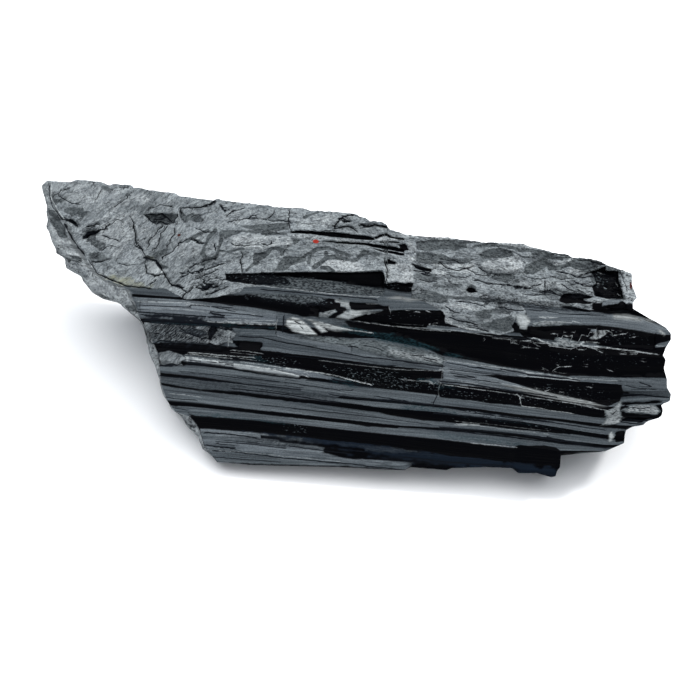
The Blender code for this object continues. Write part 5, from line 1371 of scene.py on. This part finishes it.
def schorlMaterial():
    mat = bpy.data.materials.new("schorl")
    mat.use_nodes = True
    tree = mat.node_tree
    nodes = tree.nodes
    links = tree.links
    shader = nodes["Principled BSDF"]
    shader.inputs["Specular IOR Level"].default_value = surface["specular"]

    def attribute(name, output="Fac"):
        node = nodes.new("ShaderNodeAttribute")
        node.attribute_name = name
        return node.outputs[output]

    sources = {"lay": attribute("lay", "Vector"), "grain": attribute("grain", "Vector")}

    def texture(source, scale, detail=3.0, rough=0.55, bend=0.0, shift=0.0):
        # scale: waves along, across and into the stone, per hundred sheet units
        mapping = nodes.new("ShaderNodeMapping")
        setInputs(mapping, {"Scale": scale, "Location": (shift, 1.7 * shift, 0.6 * shift)})
        links.new(sources[source], mapping.inputs["Vector"])
        node = nodes.new("ShaderNodeTexNoise")
        setInputs(node, {"Scale": 1.0, "Detail": detail, "Roughness": rough, "Distortion": bend})
        links.new(mapping.outputs["Vector"], node.inputs["Vector"])
        return node.outputs["Fac"]

    def ramp(source, low, high, outLow=0.0, outHigh=1.0):
        node = nodes.new("ShaderNodeMapRange")
        setInputs(node, {"From Min": low, "From Max": high, "To Min": outLow, "To Max": outHigh})
        links.new(source, node.inputs["Value"])
        return node.outputs["Result"]

    def combine(operation, a, c, clamp=True):
        node = nodes.new("ShaderNodeMath")
        node.operation = operation
        node.use_clamp = clamp
        for socket, value in zip(node.inputs, (a, c)):
            if isinstance(value, (int, float)):
                socket.default_value = value
            else:
                links.new(value, socket)
        return node.outputs["Value"]

    def times(a, c, clamp=True):
        return combine("MULTIPLY", a, c, clamp)

    def plus(a, c):
        return combine("ADD", a, c, False)

    def mix(share, a, c, kind="MIX"):
        # a colour can be given by its name in the surface dictionary
        node = nodes.new("ShaderNodeMix")
        node.data_type = "RGBA"
        node.blend_type = kind
        if isinstance(share, (int, float)):
            node.inputs[0].default_value = share
        else:
            links.new(share, node.inputs[0])
        for socket, value in ((node.inputs[6], a), (node.inputs[7], c)):
            value = surface.get(value, value) if isinstance(value, str) else value
            if isinstance(value, tuple):
                socket.default_value = (*value, 1.0)
            else:
                links.new(value, socket)
        return node.outputs[2]

    def mottle(base, field, low, high, darker, lighter):
        # darker where the field is low, lighter where it is high
        return mix(1.0, base, mix(ramp(field, low, high), darker, lighter), "MULTIPLY")

    def hairline(field, width):
        # thin wandering line where the field crosses its middle
        over = ramp(field, 0.5, 0.5 + width, 1.0, 0.0)
        under = ramp(field, 0.5 - width, 0.5, 0.0, 1.0)
        return times(over, under)

    # grain of the flutes
    broad = texture("grain", (0.5, 13, 13), 2)
    streak = texture("grain", (1, 42, 42), 3, 0.6, 0, 3.1)
    hair = texture("grain", (2, 100, 100), 2, 0.6, 0, 5.3)
    ruled = texture("grain", (0.7, 36, 36), 2, 0.5, 0, 8.2)
    dots = texture("lay", (36, 84, 70), 2, 0.55, 0, 1.3)
    dust = texture("lay", (70, 120, 90), 1, 0.5, 0, 3.7)
    edgeNoise = texture("grain", (22, 62, 62), 3, 0.65, 0, 7.7)
    # grain of the broken face
    tone = texture("lay", (2.2, 5, 5), 3, 0.55, 0.3, 2.2)
    crumple = texture("lay", (9, 19, 16), 4, 0.62, 0.5, 4.4)
    grit = texture("lay", (48, 66, 60), 2, 0.6, 0, 6.1)
    crackField = texture("lay", (4.2, 9.5, 8), 5, 0.6, 0.5, 9.4)
    fineField = texture("lay", (9.5, 24, 18), 4, 0.6, 0.4, 0.7)
    gate = texture("lay", (3, 5.5, 5), 2, 0.5, 0, 5.9)

    def crisp(source, low=0.36, high=0.62, noise=0.55):
        # a soft painted amount given a broken, sharp edge
        wavering = plus(source, ramp(edgeNoise, 0, 1, -0.5 * noise, 0.5 * noise))
        return ramp(wavering, low, high)

    broken = crisp(attribute("fracture"))
    lines = times(hairline(crackField, 0.01), ramp(gate, 0.47, 0.53))
    fineLines = times(hairline(fineField, 0.016), ramp(gate, 0.52, 0.46))
    fineLines = combine("MAXIMUM", times(fineLines, 0.7),
                        times(hairline(fineField, 0.022), attribute("veined")))
    lines = times(combine("MAXIMUM", lines, fineLines), broken)
    # cracks: thin where the signed distance passes through zero
    wander = plus(attribute("crackSide"), ramp(crumple, 0.2, 0.8, -0.8, 0.8))
    drawn = times(ramp(wander, 0.5, 1.3, 1, 0), ramp(wander, -1.3, -0.5, 0, 1))
    drawn = times(drawn, ramp(attribute("crackNear"), 0.2, 0.6))
    strand = plus(attribute("threadSide"), ramp(dust, 0.2, 0.8, -0.6, 0.6))
    strand = times(ramp(strand, 0.5, 1.3, 1, 0), ramp(strand, -1.3, -0.5, 0, 1))
    strand = times(strand, times(attribute("threadNear"), ramp(edgeNoise, 0.38, 0.56, 0.15, 1.15)))

    # flutes: satin finish with painted sheen over black, ruled with fine lines; on the back the painted sheen
    # follows the ribs
    ribs = texture("grain", (0.3, 8, 8), 4, 0.62, 0, 12.3)
    ribbed = times(attribute("ribbed"), ramp(ribs, 0.44, 0.56, -0.75, 0.55), False)
    satinAndSheen = crisp(plus(attribute("satinAndSheen"), ribbed), 0.3, 0.72, 0.7)
    # the light amount brightens this painted sheen
    sheen = mix(attribute("light"), "satinSheenColor", "brightSatinSheenColor")
    sheen = mottle(sheen, streak, 0.3, 0.7, (0.6, 0.6, 0.62), (1.34, 1.33, 1.32))
    sheen = mottle(sheen, broad, 0.34, 0.66, (0.72, 0.73, 0.76), (1.22, 1.2, 1.2))
    sheen = mottle(sheen, hair, 0.34, 0.64, (0.74, 0.74, 0.75), (1.26, 1.26, 1.26))
    sheen = mottle(sheen, dust, 0.32, 0.66, (0.8, 0.8, 0.8), (1.18, 1.18, 1.18))
    color = mix(satinAndSheen, "blackColor", sheen)
    color = mix(times(ramp(ruled, 0.63, 0.7), 0.45), color, "blackColor")
    color = mix(times(attribute("navy"), ramp(streak, 0.3, 0.62, 0.45, 1)), color, "navyColor")
    color = mix(times(attribute("teal"), ramp(dots, 0.4, 0.62, 0.15, 1)), color, "tealColor")

    # broken face: pale crusts, dark ribbons, thin cracks
    dull = mix(0.45, "crustColor", "ribbonColor")
    crust = mix(ramp(tone, 0.36, 0.62), dull, "crustColor")
    crust = mix(times(attribute("light"), ramp(crumple, 0.3, 0.48, 0.45, 1)), crust, "lightColor")
    ribbon = plus(attribute("dark"), ramp(crumple, 0.25, 0.75, -0.26, 0.26))
    ribbon = ramp(plus(ribbon, ramp(grit, 0.25, 0.75, -0.16, 0.16)), 0.32, 0.64)
    rock = mix(ribbon, crust, "ribbonColor")
    rim = times(times(ribbon, combine("SUBTRACT", 1, ribbon)), ramp(gate, 0.46, 0.56, 0, 3))
    rock = mix(rim, rock, "crackAndShadeColor")
    rock = mottle(rock, crumple, 0.3, 0.68, (0.6, 0.61, 0.63), (1.24, 1.23, 1.22))
    rock = mottle(rock, grit, 0.3, 0.66, (0.54, 0.54, 0.56), (1.28, 1.28, 1.28))
    rock = mix(times(ramp(dust, 0.66, 0.72), 0.7), rock, "crackAndShadeColor")
    rock = mix(times(attribute("moss"), ramp(crumple, 0.3, 0.7, 0.35, 1.1)), rock, "mossColor")
    color = mix(broken, color, rock)

    # pieces laid over both
    frost = crisp(attribute("frost"), 0.16, 0.42, 0.4)
    frostTone = mix(ramp(attribute("frost"), 0.55, 1), "frostDim", "frostHigh")
    frostTone = mottle(frostTone, crumple, 0.35, 0.65, (0.6, 0.6, 0.6), (1.15, 1.15, 1.15))
    color = mix(frost, color, mix(ramp(dots, 0.3, 0.56), "frostLow", frostTone))
    white = times(attribute("white"), ramp(streak, 0.34, 0.56, 0.25, 1.15))
    white = times(white, ramp(edgeNoise, 0.3, 0.46, 0.35, 1))
    color = mix(white, color, "whiteColor")
    black = crisp(attribute("black"), 0.38, 0.6, 0.5)
    color = mix(black, color, "blackColor")
    # pale specks: pale grains, and painted glints on the black
    speck = plus(dots, times(attribute("speck"), 0.3))
    speck = times(ramp(speck, 0.69, 0.75), ramp(attribute("speck"), 0.02, 0.12))
    speck = times(speck, ramp(edgeNoise, 0.42, 0.62, 0.25, 1))
    color = mix(speck, color, "speckColor")
    # painted shade: the shade amount darkens toward the dark of the cracks, grainy with the dots
    color = mix(times(attribute("shade"), ramp(dots, 0.4, 0.6, 1.25, 0.4)), color, "crackAndShadeColor")
    color = mix(strand, color, "threadColor")
    crack = combine("MAXIMUM", lines, drawn)
    color = mix(crack, color, "crackAndShadeColor")
    color = mix(ramp(attribute("ember"), 0.4, 0.75), color, "emberColor")
    color = mix(ramp(attribute("rust"), 0.4, 0.62), color, "rustColor")
    links.new(color, shader.inputs["Base Color"])

    rough = mix(satinAndSheen, (surface["blackRoughness"],) * 3, (surface["satinRoughness"],) * 3)
    for share, name in ((broken, "broken"), (frost, "frost"), (black, "black"), (crack, "crack")):
        rough = mix(share, rough, (surface[name + "Roughness"],) * 3)
    links.new(rough, shader.inputs["Roughness"])

    groove = nodes.new("ShaderNodeBump")
    setInputs(groove, {"Strength": surface["bump"], "Distance": surface["grooveMm"] / 1000})
    comb = plus(streak, times(hair, 0.5))
    comb = plus(comb, times(times(ribs, 4, False), attribute("ribbed"), False))
    links.new(times(comb, combine("SUBTRACT", 1, broken), False), groove.inputs["Height"])
    grain = nodes.new("ShaderNodeBump")
    setInputs(grain, {"Strength": surface["bump"], "Distance": surface["grainMm"] / 1000})
    lumps = plus(crumple, times(grit, 0.35))
    lumps = combine("SUBTRACT", lumps, times(lines, 0.5), False)
    links.new(times(lumps, broken, False), grain.inputs["Height"])
    links.new(groove.outputs["Normal"], grain.inputs["Normal"])
    links.new(grain.outputs["Normal"], shader.inputs["Normal"])
    return mat


mesh.materials.append(schorlMaterial())
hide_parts("tourmaline_crystal")
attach(crystal, "root")
print("stone painted")

studio = {
    "floorColor": (0.93, 0.93, 0.93),
    "floorHalfSide": 3.0,
    "floorLevel": -0.0001,
    "worldColor": (0.84, 0.88, 0.94),
    "worldStrength": 0.94,
    "softboxes": [          # (name, place, size, power, aim)
        ("top softbox", (0.02, 0.08, 0.60), (1.30, 1.00), 7.3, (0.0, 0.0, 0.0)),
        ("side softbox", (0.30, 0.10, 0.34), (0.05, 0.05), 1.1, (0.0, 0.0, 0.01)),
    ],
    "sheetSpan": 700.0,     # sheet units across the camera's frame
    "sensorMm": 36.0,
}


def floorMaterial():
    mat = bpy.data.materials.new("floor")
    mat.use_nodes = True
    nodes = mat.node_tree.nodes
    shader = nodes["Principled BSDF"]
    setInputs(shader, {"Roughness": 0.9, "Specular IOR Level": 0.1})
    tone = nodes.new("ShaderNodeTexNoise")
    tone.inputs["Scale"].default_value = 3.0
    speckle = nodes.new("ShaderNodeMix")
    speckle.data_type = "RGBA"
    speckle.inputs[6].default_value = (*studio["floorColor"], 1.0)
    speckle.inputs[7].default_value = (*[v * 0.99 for v in studio["floorColor"]], 1.0)
    mat.node_tree.links.new(tone.outputs["Fac"], speckle.inputs["Factor"])
    mat.node_tree.links.new(speckle.outputs[2], shader.inputs["Base Color"])
    return mat


def addFloor():
    plate = bpy.data.meshes.new("floor")
    r = studio["floorHalfSide"]
    z = studio["floorLevel"]
    plate.from_pydata([(-r, -r, z), (r, -r, z), (r, r, z), (-r, r, z)], [], [(0, 1, 2, 3)])
    plate.materials.append(floorMaterial())
    floor = bpy.data.objects.new("floor", plate)
    bpy.context.scene.collection.objects.link(floor)


def addSoftbox(name, place, size, power, aim):
    data = bpy.data.lights.new(name, "AREA")
    data.shape = "RECTANGLE"
    data.size, data.size_y = size
    data.energy = power
    lamp = bpy.data.objects.new(name, data)
    lamp.location = place
    lamp.rotation_mode = "QUATERNION"
    lamp.rotation_quaternion = (Vector(aim) - Vector(place)).to_track_quat("-Z", "Y")
    bpy.context.scene.collection.objects.link(lamp)


def addCamera():
    turn = math.radians(layout["turnDeg"])
    lean = math.radians(layout["leanDeg"])
    right = Vector((math.cos(turn), math.sin(turn), 0.0))
    up = Vector((-math.sin(turn) * math.sin(lean), math.cos(turn) * math.sin(lean), math.cos(lean)))
    back = Vector((math.sin(turn) * math.cos(lean), -math.cos(turn) * math.cos(lean), math.sin(lean)))
    unit = layout["unitMm"]
    col, row = layout["sightAt"]
    centre = toWorld((col - layout["originColumn"]) * unit, heightOf(row), 0.0)
    level = layout["floorSumMm"] * math.cos(lean)
    centre = (np.array(centre) - np.array([0.0, 0.0, level]) - sheetMiddle) * sheetScale
    span = studio["sheetSpan"] * unit * sheetScale
    data = bpy.data.cameras.new("camera")
    data.sensor_width = studio["sensorMm"]
    data.lens = studio["sensorMm"] * layout["sightMm"] / (studio["sheetSpan"] * unit)
    data.clip_start = 0.01
    data.clip_end = 20.0
    cam = bpy.data.objects.new("camera", data)
    cam.location = Vector(centre) + back * (span * data.lens / data.sensor_width)
    cam.rotation_mode = "QUATERNION"
    cam.rotation_quaternion = Matrix((right, up, back)).transposed().to_quaternion()
    bpy.context.scene.collection.objects.link(cam)
    bpy.context.scene.camera = cam


bpy.context.scene.view_settings.view_transform = "Standard"
world = bpy.data.worlds.new("studio")
bpy.context.scene.world = world
world.use_nodes = True
sky = world.node_tree.nodes["Background"]
sky.inputs["Color"].default_value = (*studio["worldColor"], 1.0)
sky.inputs["Strength"].default_value = studio["worldStrength"]
addFloor()
for softbox in studio["softboxes"]:
    addSoftbox(*softbox)
addCamera()
print("studio ready")
